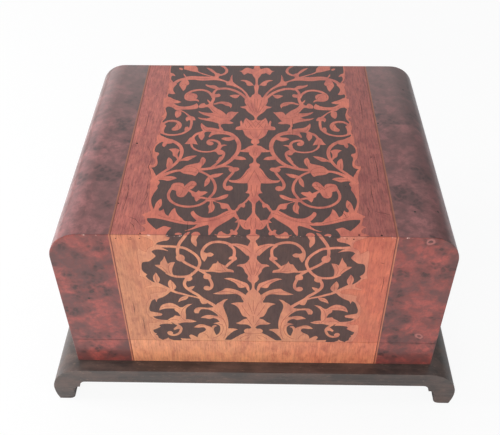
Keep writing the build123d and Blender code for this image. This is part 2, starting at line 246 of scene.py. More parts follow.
def nearest(tree, place, points):
    """Distance in mm to the nearest of some points."""
    least = None
    for point in points:
        inputs = {0: place, 1: [c * MM for c in point]}
        away = add(tree, VECTOR_MATH, inputs, operation="DISTANCE")
        least = add(tree, MATH, {0: least, 1: away}, operation="MINIMUM") if least else away
    return add(tree, MATH, {0: least, 1: MM}, operation="DIVIDE")


def share_of(tree, field, stops, reach=1):
    """A share of 0 to 1 through (value, share) stops of a field whose values go up to the reach."""
    scaled = add(tree, MATH, {0: field, 1: reach}, operation="DIVIDE")
    return add(tree, RAMP, {"Fac": scaled}, [(value / reach, share) for value, share in stops])


def laid(tree, under, tone, field, stops, reach=1, blend="MIX"):
    """One tone laid over another, by the share that (value, share) stops of a field give."""
    share = share_of(tree, field, stops, reach)
    tones = {SHARE: share, UNDER: under, OVER: tone}
    return add(tree, MIX, tones, data_type="RGBA", blend_type=blend)


def start(name):
    """An empty material with object coordinates: (material, tree, coordinates)."""
    material = bpy.data.materials.new(name)
    material.use_nodes = True
    tree = material.node_tree
    tree.nodes.clear()
    return material, tree, add(tree, "ShaderNodeTexCoord").outputs["Object"]


def finish(tree, tone, field, rough, relief=None, **more):
    """Ends a material: its tone, its roughness where a field is low and high, and other inputs.

    The relief is a height of 0 to 1 and the depth in mm that it stands for.
    """
    stops = list(zip((0.3, 0.7), rough))
    inputs = {"Base Color": tone, "Roughness": add(tree, RAMP, {"Fac": field}, stops)}
    inputs.update({name.replace("_", " "): value for name, value in more.items()})
    if relief:
        height, depth = relief
        inputs["Normal"] = add(tree, "ShaderNodeBump", {"Height": height, "Distance": depth * MM})
    surface = add(tree, "ShaderNodeBsdfPrincipled", inputs)
    add(tree, "ShaderNodeOutputMaterial", {"Surface": surface})


# ---------------------------------------------------------------- woods, metals and cloth

SHELLAC_IOR = 1.5

# What a mark multiplies the wood's own tone by
GLUE_STAIN = (0.3, 0.16, 0.14, 1)
BRIGHT_FLECK = (1.3, 1.34, 1.24, 1)
DULL_FLECK = (0.8, 0.7, 0.75, 1)
PORE_STAIN = (0.6, 0.42, 0.42, 1)

# How far the tone of a straight-grained wood drifts per mm, to the right and upwards
DRIFT_ACROSS = 0.005
DRIFT_UPWARD = 0.0045
DRIFT_START = 0.56

# Marks of the burl: (x, z) in mm on the front panels
EYE_GROUPS = (
    (-139, 177), (-113, 183.5), (-116, 156.5), (-123.5, 148.5), (-139, 148.5), (-137.5, 134),
    (-132.5, 127), (-126, 129), (-117, 132), (-112, 127), (-134, 107), (-147.5, 106.5), (-142, 105.5),
    (-125.5, 74), (-119.5, 74.5), (-143.5, 55), (-130, 56.5), (-120, 50), (-138, 62), (111.5, 130),
    (108.5, 105), (121, 100), (113.5, 86.5), (133, 80), (115, 73.5), (106.5, 57), (111, 53),
    (127.5, 152.5), (143, 152.5), (143.5, 103), (126, 185.5), (136, 176),
)
RED_PATCHES = (
    (-114, 144), (-120, 166), (-129, 99), (-110, 108), (-116, 62), (138, 163), (122, 165), (124, 90),
    (125, 60), (110, 61), (140, 62),
)
RINGED_EYES = ((126, 185.5), (134.6, 79))

# Worm holes of the burl, in mm
WORM_HOLES = (
    (-102.9, -83.5, 189.5), (134, 78.4, 188.3), (136.8, -87.2, 187), (118.9, -90.2, 189.5),
    (104.6, 23, 189.5), (-146, 40, 174), (150, -30, 120), (-150, 62, 96), (-128, -118, 121),
    (129, 118, 88),
)

LEANING = (0, 0.5, 0)  # turn of the burl's figure, in radians
WANDER = 8  # how far the burl's figure is pushed about, in mm


def worn_and_glinting_joint(tree, place, tone):
    """The tone with the joint of top and face veneers: a dark glue line, and pale arris marks, partly
    chips, partly painted glint.
    """
    parts = axes(tree, place)
    depth = add(tree, MATH, {0: parts["Y"]}, operation="ABSOLUTE")
    line_stops = [(JOINT_Y - 0.41, 0), (JOINT_Y - 0.29, 0.75), (JOINT_Y + 0.15, 0.75), (JOINT_Y + 0.28, 0)]
    glued = laid(tree, tone, GLUE_STAIN, depth, line_stops, reach=125, blend="MULTIPLY")
    outward = add(tree, MATH, {0: depth, 1: parts["Z"]}, operation="ADD")
    below = add(tree, MATH, {0: ARRIS_SUM, 1: outward}, operation="SUBTRACT")
    near = share_of(tree, below, [(0.75, 1), (0.95, 0)])
    flakes = share_of(tree, figure(tree, place, (3, 1.5, 1.5), rough=0.7), [(0.63, 0), (0.67, 0.7)])
    # Pale marks along the arris: partly worn chips, partly painted highlight where light glints on the edge
    chips_and_glints = add(tree, MATH, {0: near, 1: flakes}, operation="MULTIPLY")
    tones = {SHARE: chips_and_glints, UNDER: glued, OVER: linear("#E6BFB2")}
    return add(tree, MIX, tones, data_type="RGBA")


def near_marks(tree, place, marks):
    """Distance in mm to the nearest of some (x, z) marks on the front."""
    return nearest(tree, place, [(x, FACE_Y, z) for x, z in marks])


def wandering(tree, place):
    """Coordinates pushed about by a few mm, so that the burl's figure has no straight run."""
    wander = figure(tree, place, 11, detail=4).outputs["Color"]
    centred = add(tree, VECTOR_MATH, {0: wander, 1: (0.5, 0.5, 0.5)}, operation="SUBTRACT")
    pushed = add(tree, VECTOR_MATH, {0: centred, "Scale": WANDER * MM}, operation="SCALE")
    return add(tree, VECTOR_MATH, {0: place, 1: pushed}, operation="ADD")


def burl_eyes(tree, bent, tone, dark):
    """The tone with clusters of dark eyes in brown halos, some by chance and some at the eye groups."""
    scattered = share_of(tree, figure(tree, bent, (22, 22, 18)), [(0.54, 0), (0.64, 0.8)])
    grouped = share_of(tree, near_marks(tree, bent, EYE_GROUPS), [(2.8, 1), (6.2, 0)], reach=10)
    crowd = add(tree, MATH, {0: scattered, 1: grouped}, operation="MAXIMUM")
    haloed = laid(tree, tone, shade(dark, 1.3), crowd, [(0, 0), (1, 0.55)])
    mapped = add(tree, MAPPING, {"Vector": bent, "Scale": per_mm((4.8, 4.8, 4.2))})
    knots = add(tree, "ShaderNodeTexVoronoi", {"Vector": mapped, "Scale": 1.0})
    round_knots = share_of(tree, knots, [(0.10, 0.6), (0.25, 1), (0.58, 0)])
    eyes = add(tree, MATH, {0: round_knots, 1: crowd}, operation="MULTIPLY")
    tones = {SHARE: eyes, UNDER: haloed, OVER: shade(dark, 0.7)}
    return add(tree, MIX, tones, data_type="RGBA")


def burl_veneer(name, tone, dark, sheen_grey, blotch, smoked):
    """Thuya burl, knife-cut and french-polished: a cloudy red figure with smoky clusters of dark eyes.

    Smoked and blotch say how much its large and its small clouds darken it; the grey at the back is
    painted reflection of the polish's sheen, put into the colour. Its pores are about 0.2 mm wide;
    they are drawn as specks of 1.6 mm, to show.
    """
    material, tree, place = start(name)
    smoke = shade(dark, 1.7)
    bent = wandering(tree, place)
    flame = figure(tree, bent, (15, 15, 14), detail=5, rough=0.6, warp=0.6, turn=LEANING)
    redder = share_of(tree, near_marks(tree, bent, RED_PATCHES), [(3, 0.16), (10, 0)], reach=20)
    warmth = add(tree, MATH, {0: flame, 1: redder}, operation="ADD")
    reds = shades(tone, (0.32, 0.66), (0.48, 0.95), (0.62, 1.12), (0.80, 1.3))
    base = add(tree, RAMP, {"Fac": warmth}, reds)
    cloud = figure(tree, bent, (26, 26, 22), detail=5, rough=0.6, turn=LEANING)
    smoky = laid(tree, base, smoke, cloud, [(0.44, 0), (0.58, smoked)])
    mottle = figure(tree, bent, (6, 6, 5), detail=4, rough=0.6)
    dappled = laid(tree, smoky, smoke, mottle, [(0.44, 0), (0.62, blotch)])
    eyed = burl_eyes(tree, bent, dappled, dark)
    specks = figure(tree, place, 1.6, rough=0.7)
    speckled = laid(tree, eyed, shade(tone, 0.5), specks, [(0.45, 0), (0.75, 0.5)])
    away = near_marks(tree, bent, RINGED_EYES)
    rings = [(1.3, 0), (2.0, 0.5), (2.7, 0.5), (3.8, 0)]
    ringed = laid(tree, speckled, linear("#C67B73"), away, rings, reach=10)
    back = axes(tree, place)["Y"]
    # Painted reflection: the wood is greyed towards the back, where the polish would mirror the room
    sheen_greyed = laid(tree, ringed, linear("#6E625E"), back, [(0, 0), (-FACE_Y, sheen_grey)], reach=125)
    jointed = worn_and_glinting_joint(tree, place, sheen_greyed)
    holes = nearest(tree, place, WORM_HOLES)
    bored = laid(tree, jointed, linear("#1D1612"), holes, [(0.8, 1), (1.0, 0)])
    finish(
        tree, bored, cloud, (0.30, 0.42), (mottle, 0.05),
        IOR=SHELLAC_IOR, Coat_Weight=0.3, Coat_Roughness=0.06,
    )
    return material


def faded_across(tree, place, left, right, heart):
    """A wood's tone, paler at the lower left; heart darkens the middle of its upper part."""
    parts = axes(tree, place)
    across = add(tree, MATH, {0: parts["X"], 1: DRIFT_ACROSS}, operation="MULTIPLY")
    upward = add(tree, MATH, {0: parts["Z"], 1: DRIFT_UPWARD}, operation="MULTIPLY")
    slope = add(tree, MATH, {0: across, 1: upward}, operation="ADD")
    clouds = figure(tree, place, 30, detail=4)
    cloud = add(tree, MATH, {0: clouds, 1: DRIFT_START}, operation="SUBTRACT")
    drift = add(tree, MATH, {0: slope, 1: cloud}, operation="ADD")
    if heart:
        aside = add(tree, MATH, {0: parts["X"]}, operation="ABSOLUTE")
        inner = share_of(tree, aside, [(6, heart), (20, 0)], reach=200)
        upper = share_of(tree, parts["Z"], [(120, 0), (148, 1)], reach=200)
        middle = add(tree, MATH, {0: inner, 1: upper}, operation="MULTIPLY")
        drift = add(tree, MATH, {0: drift, 1: middle}, operation="ADD")
    return laid(tree, left, right, drift, [(0.05, 0), (0.95, 1)])


def straight_grained(name, left, right, streak, pore, roughness, coat, varied=0.0, figured=1.0, heart=0.0):
    """A polished straight-grained wood: silky flecks, dark streaks and fine pores along the grain.

    Streak is the factor of the streaks, pore the share of the pores, figured the strength of the flecks
    and varied how much lighter single shapes are. Its pores are about 0.1 mm wide and 1 mm long; they
    are drawn 0.8 mm wide and 5 mm long, to show.
    """
    material, tree, place = start(name)
    tone = faded_across(tree, place, left, right, heart)
    fleck = figure(tree, place, (7, 12, 12), detail=4, rough=0.6, warp=0.5)
    bright = [(0.50, 0), (0.70, 0.7 * figured)]
    lit = laid(tree, tone, BRIGHT_FLECK, fleck, bright, blend="MULTIPLY")
    dim = [(0.32, figured), (0.48, 0)]
    dull = laid(tree, lit, DULL_FLECK, fleck, dim, blend="MULTIPLY")
    streaks = figure(tree, place, (1.1, 16, 16), detail=5, rough=0.65, warp=0.3)
    streaked = laid(tree, dull, grey(streak), streaks, [(0.38, 1), (0.58, 0)], blend="MULTIPLY")
    fine = figure(tree, place, (0.8, 5, 5), rough=0.65)
    pores = [(0.52, 0), (0.68, pore)]
    grained = laid(tree, streaked, PORE_STAIN, fine, pores, blend="MULTIPLY")
    if varied:
        pick = add(tree, "ShaderNodeAttribute", attribute_name="tone").outputs["Fac"]
        grained = laid(tree, grained, grey(1 + varied), pick, [(0, 0), (1, 1)], blend="MULTIPLY")
    finish(
        tree, worn_and_glinting_joint(tree, place, grained), fleck, (roughness, roughness + 0.1), (fine, 0.03),
        IOR=SHELLAC_IOR, Coat_Weight=coat, Coat_Roughness=0.2,
    )
    return material


def boxwood_string(name, colours, painted_light_factor):
    """A line of boxwood let in beside the burl: pale in the middle, red with glue at both sides."""
    material, tree, place = start(name)
    aside = add(tree, MATH, {0: axes(tree, place)["X"]}, operation="ABSOLUTE")
    grain = figure(tree, place, 8, detail=4)
    # The factor darkens the whole string: painted shade, used for the strings on the top
    tones = shades(colours.light_string, (0.35, 0.8 * painted_light_factor), (0.65, 1.15 * painted_light_factor))
    pale = add(tree, RAMP, {"Fac": grain}, tones)
    glue = [(STRING_X - 0.36, 1), (STRING_X - 0.24, 0), (STRING_X + 0.24, 0), (STRING_X + 0.36, 1)]
    glued = laid(tree, pale, shade(colours.band_right, 0.5), aside, glue, reach=200)
    finish(tree, glued, grain, (0.35, 0.45), IOR=SHELLAC_IOR, Coat_Weight=0.2)
    return material


def ebonised_wood(colours):
    """Pearwood stained black and waxed: a brown-black film, worn to the wood in patches."""
    material, tree, place = start("pearwood_ebonised_waxed")
    grain = figure(tree, place, (60, 3, 3), detail=5, rough=0.6, warp=0.2)
    wear = figure(tree, place, (22, 12, 12), detail=5, rough=0.65)
    scuffs = figure(tree, place, (5, 1.6, 1.6), detail=4, rough=0.7)
    base = add(tree, RAMP, {"Fac": grain}, shades(colours.ebonised, (0.3, 0.7), (0.55, 1), (0.8, 1.6)))
    worn = laid(tree, base, linear("#645049"), wear, [(0.42, 0), (0.66, 0.7)])
    scuffed = laid(tree, worn, linear("#8C7466"), scuffs, [(0.58, 0), (0.72, 0.4)])
    finish(
        tree, scuffed, wear, (0.36, 0.55), (grain, 0.06),
        IOR=SHELLAC_IOR, Coat_Weight=0.25, Coat_Roughness=0.14,
    )
    return material


def carcase_wood(name, fine_axis):
    """Quarter-sawn pine, planed, bare and darkened by age, its growth lines close along one axis."""
    material, tree, place = start(name)
    across = [2.4 if axis == fine_axis else 90 for axis in "xyz"]
    rings = figure(tree, place, across, detail=4, warp=0.25)
    base = add(tree, RAMP, {"Fac": rings}, shades(linear("#A5744B"), (0.35, 0.62), (0.55, 1), (0.8, 1.2)))
    soil = figure(tree, place, 60, detail=4)
    aged = laid(tree, base, linear("#6B4A33"), soil, [(0.45, 0), (0.7, 0.35)])
    fuzz = figure(tree, place, [size / 3 for size in across], detail=2)
    finish(tree, aged, fuzz, (0.62, 0.78), (fuzz, 0.05), IOR=SHELLAC_IOR)
    return material


def velvet_lining(colours):
    """Cotton velvet glued to the tray: a deep pile with a pale sheen, lighter where it is rubbed.

    The tufts of real pile stand about 0.3 mm apart; they are drawn at 0.7 mm, to show.
    """
    material, tree, place = start("cotton_velvet_woven")
    rub = figure(tree, place, 30, detail=4)
    pile = figure(tree, place, 0.7, detail=2)
    tone = add(tree, RAMP, {"Fac": rub}, shades(colours.lining, (0.35, 0.75), (0.6, 1), (0.8, 1.5)))
    finish(tree, tone, pile, (0.85, 0.98), (pile, 0.25), Sheen_Weight=0.6, Sheen_Roughness=0.4)
    return material


def old_metal(name, tone, dark, roughness):
    """Cast and filed metal that has dulled: cloudy tarnish and fine scratches.

    The marks of a fine file are about 0.1 mm apart; they are drawn at 0.3 mm, to show.
    """
    material, tree, place = start(name)
    tarnish = figure(tree, place, 5, detail=5, rough=0.65)
    scratches = figure(tree, place, (8, 0.3, 0.3), detail=2)
    base = add(tree, RAMP, {"Fac": tarnish}, [(0.35, dark), (0.6, tone), (0.8, shade(tone, 1.1))])
    finish(tree, base, tarnish, (roughness + 0.2, roughness), (scratches, 0.01), Metallic=1.0)
    return material


def plain_grained(name, tone, streak, pore, roughness, coat=0.0):
    """A straight-grained wood or a filling of one tone all over."""
    return straight_grained(name, tone, tone, streak, pore, roughness, coat)


# Satinwood, quarter-cut and french-polished: silky cross flecks over fine stripes
SATINWOOD = {"roughness": 0.34, "coat": 0.25}
BAND_FIGURE = {"streak": 0.82, "pore": 0.55, **SATINWOOD}
SCROLL_FIGURE = {"streak": 0.9, "pore": 0.35, "varied": 0.16, **SATINWOOD}


def make_materials():
    """Every material, by the name of its slot or of its place."""
    c = bpy.context.scene.casket_colours
    # Painted light: the tray's bands are lighter copies of the face's bands, making up for light that falls
    # off towards the bottom
    tray_left_lit = shade(c.band_left, 1.25)
    tray_right_lit = shade(c.band_right, 1.12)
    return {
        "burl_veneer": burl_veneer(
            "thuya_burl_face_polished", c.burl, c.burl_dark, sheen_grey=0.0, blotch=0.55, smoked=0.8
        ),
        # The wrap is greyed towards the back: painted reflection of the polish's sheen
        "burl_wrap": burl_veneer(
            "thuya_burl_wrap_polished", c.burl_top, c.burl_dark, sheen_grey=0.5, blotch=0.6, smoked=0.5
        ),
        "band_face": straight_grained("satinwood_face_polished", c.band_left, c.band_right, **BAND_FIGURE),
        "band_tray_lit": straight_grained("satinwood_tray_lit_polished", tray_left_lit, tray_right_lit, **BAND_FIGURE),
        "band_top": straight_grained(
            "satinwood_top_polished", c.top_left, c.top_right,
            streak=0.66, pore=0.85, figured=1.3, **SATINWOOD,
        ),
        "scroll_face": straight_grained(
            "satinwood_scroll_face_polished", c.scroll_left, c.scroll_right, heart=0.5, **SCROLL_FIGURE
        ),
        "scroll_top": straight_grained(
            "satinwood_scroll_top_polished", c.scroll_top, c.scroll_top, **SCROLL_FIGURE
        ),
        # Rosewood, scraped and polished: nearly black, with open pores
        "dark_ground": plain_grained(
            "rosewood_ground_polished", c.ground, streak=0.78, pore=0.6, roughness=0.4, coat=0.2
        ),
        "light_string": boxwood_string("boxwood_string_polished", c, painted_light_factor=1.0),
        # Painted shade: the top's strings are a darker copy of the same boxwood
        "top_string": boxwood_string("boxwood_string_top_polished", c, painted_light_factor=0.6),
        # Pearwood, dyed right through: an even brown-red line
        "dark_string": plain_grained(
            "pearwood_string_dyed", c.dark_string, streak=0.8, pore=0.2, roughness=0.4, coat=0.1
        ),
        # Dust and dirt, packed into holes and cracks: matt and nearly black
        "pitch": plain_grained(
            "wood_dust_in_holes_and_cracks", linear("#2C1D1A"), streak=0.8, pore=0.2, roughness=0.8
        ),
        # Mastic, rubbed into the graver's lines: a dull brown-red
        "engraving": plain_grained(
            "mastic_rubbed_into_engraving", c.engraving, streak=0.9, pore=0.2, roughness=0.45
        ),
        "ebonised_wood": ebonised_wood(c),
        "carcase_wood": carcase_wood("pine_upright_planed", "z"),
        "carcase_flat": carcase_wood("pine_flat_planed", "y"),
        "lining": velvet_lining(c),
        # Brass, cast and filed: yellow under clouds of brown tarnish
        "brass": old_metal("brass_cast_and_filed", c.brass, linear("#76582C"), 0.3),
        # Iron, cut and blackened in oil: dark grey and dull
        "steel_screw": old_metal("iron_cut_and_blackened", linear("#6A655F"), linear("#2E2A27"), 0.4),
        # Beech, turned and left bare: pale and matt
        "beech_dowel": plain_grained(
            "beech_turned", linear("#C79A6B"), streak=0.8, pore=0.3, roughness=0.6
        ),
    }


MATERIALS = {}


def material_for(name):
    """The material of a slot or a place; all are made on first use."""
    if not MATERIALS:
        MATERIALS.update(make_materials())
    return MATERIALS[name]


# ---------------------------------------------------------------- pieces from the frame


def dress(node, slot):
    """Gives a CAD node that stays its finished material."""
    for holder in frame["nodes"][node].material_slots:
        holder.material = material_for(slot)


def smoothed(name, work, sharp):
    """A mesh from a bmesh, smooth but for edges that turn more than the given degrees."""
    mesh = bpy.data.meshes.new(name)
    for face in work.faces:
        face.smooth = True
    work.to_mesh(mesh)
    work.free()
    mesh.set_sharp_from_angle(angle=math.radians(sharp))
    return mesh


def linked(name, mesh):
    """A new object in the scene."""
    item = bpy.data.objects.new(name, mesh)
    bpy.context.scene.collection.objects.link(item)
    return item


def piece_of(name, mesh, body, nodes):
    """A finished piece that rides on a body and stands for CAD nodes, if any."""
    piece = linked(name, mesh)
    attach(piece, body)
    if nodes:
        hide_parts(*nodes)
    return piece


def baked(item):
    """The mesh of an object with its modifiers applied."""
    return bpy.data.meshes.new_from_object(item.evaluated_get(bpy.context.evaluated_depsgraph_get()))


def welded(node):
    """A bmesh of a CAD node, its doubled vertices merged."""
    work = bmesh.new()
    work.from_mesh(frame["nodes"][node].data)
    bmesh.ops.remove_doubles(work, verts=work.verts, dist=WELD)
    return work


def eased_copy(node, slot, radius, sharp, chosen=lambda edge: True):
    """A copy of a CAD node, its chosen edges rounded where they turn more than sharp degrees."""
    work = welded(node)
    bmesh.ops.dissolve_limit(work, angle_limit=math.radians(1), verts=work.verts, edges=work.edges)
    limit = math.radians(sharp)
    edges = [e for e in work.edges if e.is_manifold and e.calc_face_angle() > limit and chosen(e)]
    bmesh.ops.bevel(
        work, geom=edges, offset=radius, segments=3, profile=0.5, affect="EDGES", clamp_overlap=True
    )
    bmesh.ops.triangulate(work, faces=[f for f in work.faces if len(f.verts) > 4])
    name = f"{node}_eased"
    mesh = smoothed(name, work, sharp=32)
    mesh.materials.append(material_for(slot))
    piece = piece_of(name, mesh, frame["nodes"][node]["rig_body"], [node])
    weighting = piece.modifiers.new("flat_faces_stay_flat", "WEIGHTED_NORMAL")
    weighting.keep_sharp = True
    piece.data = baked(piece)
    piece.modifiers.remove(weighting)


def nodes_of(*starts):
    """Names of the CAD nodes that begin with any of the given words."""
    return [name for name in sorted(frame["nodes"]) if name.startswith(starts)]


def on_facing_edge(edge):
    """True for the long outer edges of the stand's facings."""
    first, second = edge.verts
    level = abs(first.co.z - second.co.z) < TOUCH
    return level and all(abs(abs(v.co.y) - STAND_FACE) < TOUCH for v in edge.verts)


def on_outline(edge):
    """True for an edge on the casket's outer arris, where a face panel turns to a side or the top."""
    flush = all(abs(abs(v.co.y) - abs(FACE[0].y)) < TOUCH for v in edge.verts)
    turning = any(abs(f.normal.y) < 0.5 for f in edge.link_faces)
    return flush and turning and all(on_arch(v.co) for v in edge.verts)


def on_arch(point):
    """True where a point lies on the arched outline of the casket's face."""
    if abs(abs(point.x) - HALF_WIDTH) < TOUCH or abs(point.z - FACE[1].z) < TOUCH:
        return True
    across = abs(point.x) - HALF_WIDTH + SHOULDER_RADIUS
    above = point.z - FACE[1].z + SHOULDER_RADIUS
    return above > 0 and math.hypot(across, above) > SHOULDER_RADIUS - TOUCH


# ---------------------------------------------------------------- fixings


def spun(profile, steps):
    """A closed turned shape from (radius, height) points in mm that start and end on the axis."""
    work = bmesh.new()
    verts = [work.verts.new((r * MM, 0, z * MM)) for r, z in profile]
    edges = [work.edges.new(pair) for pair in zip(verts, verts[1:])]
    bmesh.ops.spin(work, geom=verts + edges, cent=(0, 0, 0), axis=(0, 0, 1), angle=math.tau, steps=steps)
    bmesh.ops.remove_doubles(work, verts=work.verts, dist=WELD)
    bmesh.ops.recalc_face_normals(work, faces=work.faces)
    return work


HEAD_RIM = 0.12  # upright rim of a screw's head, in mm
CORE = 0.72  # radius of a thread's core and crest, and its pitch, as shares of the shank's radius
CREST = 0.97
PITCH = 0.8
PLAIN = 0.3  # plain part of a shank, as a share of the screw's length
SLOT_HALF = 0.14  # half the width of the slot, and its depth, as shares of the head's radius
SLOT_DEPTH = 0.25


def cap_faces(work):
    """The faces on top of a screw's head."""
    return [face for face in work.faces if face.normal.z > 0.99]


def screw_shape(head, shank, length):
    """A countersunk wood screw: its slotted face at the origin, its threaded shank below. Sizes in mm."""
    core = CORE * shank
    pitch = PITCH * shank
    height = -PLAIN * length
    cone_foot = shank - head - HEAD_RIM
    profile = [(0, 0), (head - HEAD_RIM, 0), (head, -HEAD_RIM), (shank, cone_foot), (shank, height)]
    while height - pitch > pitch - length:
        profile += [(core, height - 0.3 * pitch), (CREST * shank, height - 0.8 * pitch)]
        height -= pitch
    profile += [(core, height - 0.3 * pitch), (0, -length)]
    work = spun(profile, 24)
    half = SLOT_HALF * head * MM
    for side in (-half, half):
        cap = cap_faces(work)
        around = cap + list({e for f in cap for e in f.edges}) + list({v for f in cap for v in f.verts})
        bmesh.ops.bisect_plane(work, geom=around, plane_co=(0, side, 0), plane_no=(0, 1, 0), dist=1e-7)
    slot = [f for f in cap_faces(work) if abs(f.calc_center_median().y) < half]
    sunk = bmesh.ops.extrude_face_region(work, geom=slot)["geom"]
    for vert in (v for v in sunk if isinstance(v, bmesh.types.BMVert)):
        vert.co.z -= SLOT_DEPTH * head * MM
        vert.co.x *= 1 - SLOT_DEPTH
    return work


FLUTES = 16
FLUTE_FLOOR = 0.92  # radius in a flute, as a share of the dowel's


def dowel_shape(radius, length):
    """A fluted dowel with chamfered ends, its middle at the origin. Sizes in mm."""
    half = length / 2
    end = radius - 0.6
    shoulder = half - 0.8
    steps = 2 * FLUTES
    upper = [(0, half), (end, half), (radius, shoulder)]
    work = spun(upper + [(r, -z) for r, z in reversed(upper)], steps)
    for vert in work.verts:
        place = round(math.atan2(vert.co.y, vert.co.x) / math.tau * steps)
        if place % 2 and math.hypot(vert.co.x, vert.co.y) > (radius - 0.1) * MM:
            vert.co.xy *= FLUTE_FLOOR
    return work


TURN_SEED = 4
REPEATER = "set_on_points"
REPEATER_INPUTS = {
    "Points": "Geometry",
    "Shape": "Object",
    "Tilt": "Float",
    "Turn": "Float",
    "Seed": "Int",
    "Finish": "Material",
}
LARGEST = 3  # input of a random number's node: the largest number it may give


def repeater():
    """A node tree that sets one shape on every point, turned by a seeded chance, as one plain mesh."""
    tree = bpy.data.node_groups.new(REPEATER, "GeometryNodeTree")
    for name, kind in REPEATER_INPUTS.items():
        tree.interface.new_socket(name, in_out="INPUT", socket_type=f"NodeSocket{kind}")
    tree.interface.new_socket("Pieces", in_out="OUTPUT", socket_type="NodeSocketGeometry")
    given = add(tree, "NodeGroupInput").outputs
    shape = add(tree, "GeometryNodeObjectInfo", {"Object": given["Shape"]}).outputs["Geometry"]
    seeded = {LARGEST: given["Turn"], "Seed": given["Seed"]}
    chance = add(tree, "FunctionNodeRandomValue", seeded, data_type="FLOAT")
    turn = add(tree, "ShaderNodeCombineXYZ", {"X": given["Tilt"], "Z": chance})
    inputs = {"Points": given["Points"], "Instance": shape, "Rotation": turn}
    placed = add(tree, "GeometryNodeInstanceOnPoints", inputs)
    real = add(tree, "GeometryNodeRealizeInstances", {"Geometry": placed})
    dressed = add(tree, "GeometryNodeSetMaterial", {"Geometry": real, "Material": given["Finish"]})
    add(tree, "NodeGroupOutput", {"Pieces": dressed})
    return tree


def islands(work):
    """The separate bodies of a bmesh, each as a list of its vertices' places."""
    left = set(work.verts)
    found = []
    while left:
        stack = [left.pop()]
        body = []
        while stack:
            vert = stack.pop()
            body.append(vert.co.copy())
            for edge in vert.link_edges:
                other = edge.other_vert(vert)
                if other in left:
                    left.remove(other)
                    stack.append(other)
        found.append(body)
    return found


def spots_of(node, height):
    """The middle of every body of a CAD node, seen from above, at the given height in mm."""
    source = welded(node)
    spots = []
    for body in islands(source):
        middle = [(min(p[i] for p in body) + max(p[i] for p in body)) / 2 for i in (0, 1)]
        spots.append((*middle, height * MM))
    source.free()
    return sorted(spots)


def repeated(name, node, work, height, tilt, turn, slot):
    """One shape in place of every body of a CAD node, its origin at the given height in mm."""
    points = bpy.data.meshes.new(f"{name}_points")
    points.from_pydata(spots_of(node, height), [], [])
    shape = linked(f"{name}_shape", smoothed(f"{name}_shape", work, sharp=35))
    holder = linked(f"{name}_points", points)
    tree = bpy.data.node_groups.get(REPEATER) or repeater()
    modifier = holder.modifiers.new("repeat", "NODES")
    modifier.node_group = tree
    values = {"Shape": shape, "Tilt": tilt, "Turn": turn, "Seed": TURN_SEED, "Finish": material_for(slot)}
    for socket in tree.interface.items_tree:
        if socket.in_out == "INPUT" and socket.name in values:
            modifier[socket.identifier] = values[socket.name]
    mesh = baked(holder)
    holder.modifiers.remove(modifier)
    piece_of(name, mesh, frame["nodes"][node]["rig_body"], [node])
    for item in (holder, shape):
        bpy.data.objects.remove(item)


# ---------------------------------------------------------------- drawing the marquetry, in mm

CURVE_STEP = 1.0
SHARP_TURN = 62  # degrees; an outline turns more than this only at a drawn corner
BALL_SIDES = 14


def turn_at(before, here, after):
    """The turn at a point of a path, in degrees."""
    ax, ay = here[0] - before[0], here[1] - before[1]
    bx, by = after[0] - here[0], after[1] - here[1]
    return abs(math.degrees(math.atan2(ax * by - ay * bx, ax * bx + ay * by)))


def slope_at(before, here, after, sharp):
    """The direction of a path at a point, or None where it turns sharply."""
    if turn_at(before, here, after) > sharp:
        return None
    total = math.dist(before, here) + math.dist(here, after)
    return (after[0] - before[0]) / total, (after[1] - before[1]) / total


def arc(a, b, slope_a, slope_b):
    """Points from a up to b along a curve with the given slopes; None leaves an end free."""
    span = math.dist(a, b)
    chord = ((b[0] - a[0]) / span, (b[1] - a[1]) / span)
    free_a = tuple(2 * c - s for c, s in zip(chord, slope_b)) if slope_b else chord
    free_b = tuple(2 * c - s for c, s in zip(chord, slope_a)) if slope_a else chord
    parts = (a, slope_a or free_a, b, slope_b or free_b)
    count = max(1, math.ceil(span / CURVE_STEP))
    drawn = []
    for k in range(count):
        t = k / count
        weights = (
            2 * t**3 - 3 * t**2 + 1,
            (t**3 - 2 * t**2 + t) * span,
            3 * t**2 - 2 * t**3,
            (t**3 - t**2) * span,
        )
        drawn.append(tuple(sum(w * p[j] for w, p in zip(weights, parts)) for j in (0, 1)))
    return drawn


def leaf(*points):
    """A closed outline through the points, smooth except where it turns sharply."""
    count = len(points)
    after = [(i + 1) % count for i in range(count)]
    slopes = [slope_at(points[i - 1], points[i], points[after[i]], SHARP_TURN) for i in range(count)]
    return [p for i in range(count) for p in arc(points[i], points[after[i]], slopes[i], slopes[after[i]])]


def line(*points, sharp=180):
    """An open smooth path through the points."""
    last = len(points) - 1
    slopes = [None] + [slope_at(*points[i - 1 : i + 2], sharp) for i in range(1, last)] + [None]
    drawn = [p for i in range(last) for p in arc(points[i], points[i + 1], slopes[i], slopes[i + 1])]
    return drawn + [points[-1]]


def both(*half):
    """A form that straddles the axis, from its right half, top to bottom."""
    return leaf(*half, *[(-x, y) for x, y in reversed(half)])


def ball(x, y, radius):
    """A round end of a scroll, or a hole."""
    turns = [math.tau * k / BALL_SIDES for k in range(BALL_SIDES)]
    return [(x + radius * math.cos(t), y + radius * math.sin(t)) for t in turns]


def swept(path, width, end=None):
    """The outline of a strip along a path; its width runs evenly from the first value to the last."""
    last = len(path) - 1
    widening = (end or width) - width
    left = []
    right = []
    for i, (x, y) in enumerate(path):
        (ax, ay), (bx, by) = path[max(i - 1, 0)], path[min(i + 1, last)]
        half = (width + widening * i / last) / 2 / math.hypot(bx - ax, by - ay)
        left.append((x - (by - ay) * half, y + (bx - ax) * half))
        right.append((x + (by - ay) * half, y - (bx - ax) * half))
    return left + right[::-1]


def stem(width, *points, end=None):
    """A smooth stalk through the points."""
    return swept(line(*points), width, end)


def closed(half):
    """A closed outline from its right half, which starts and ends on the axis."""
    return half + [(-x, y) for x, y in reversed(half)]


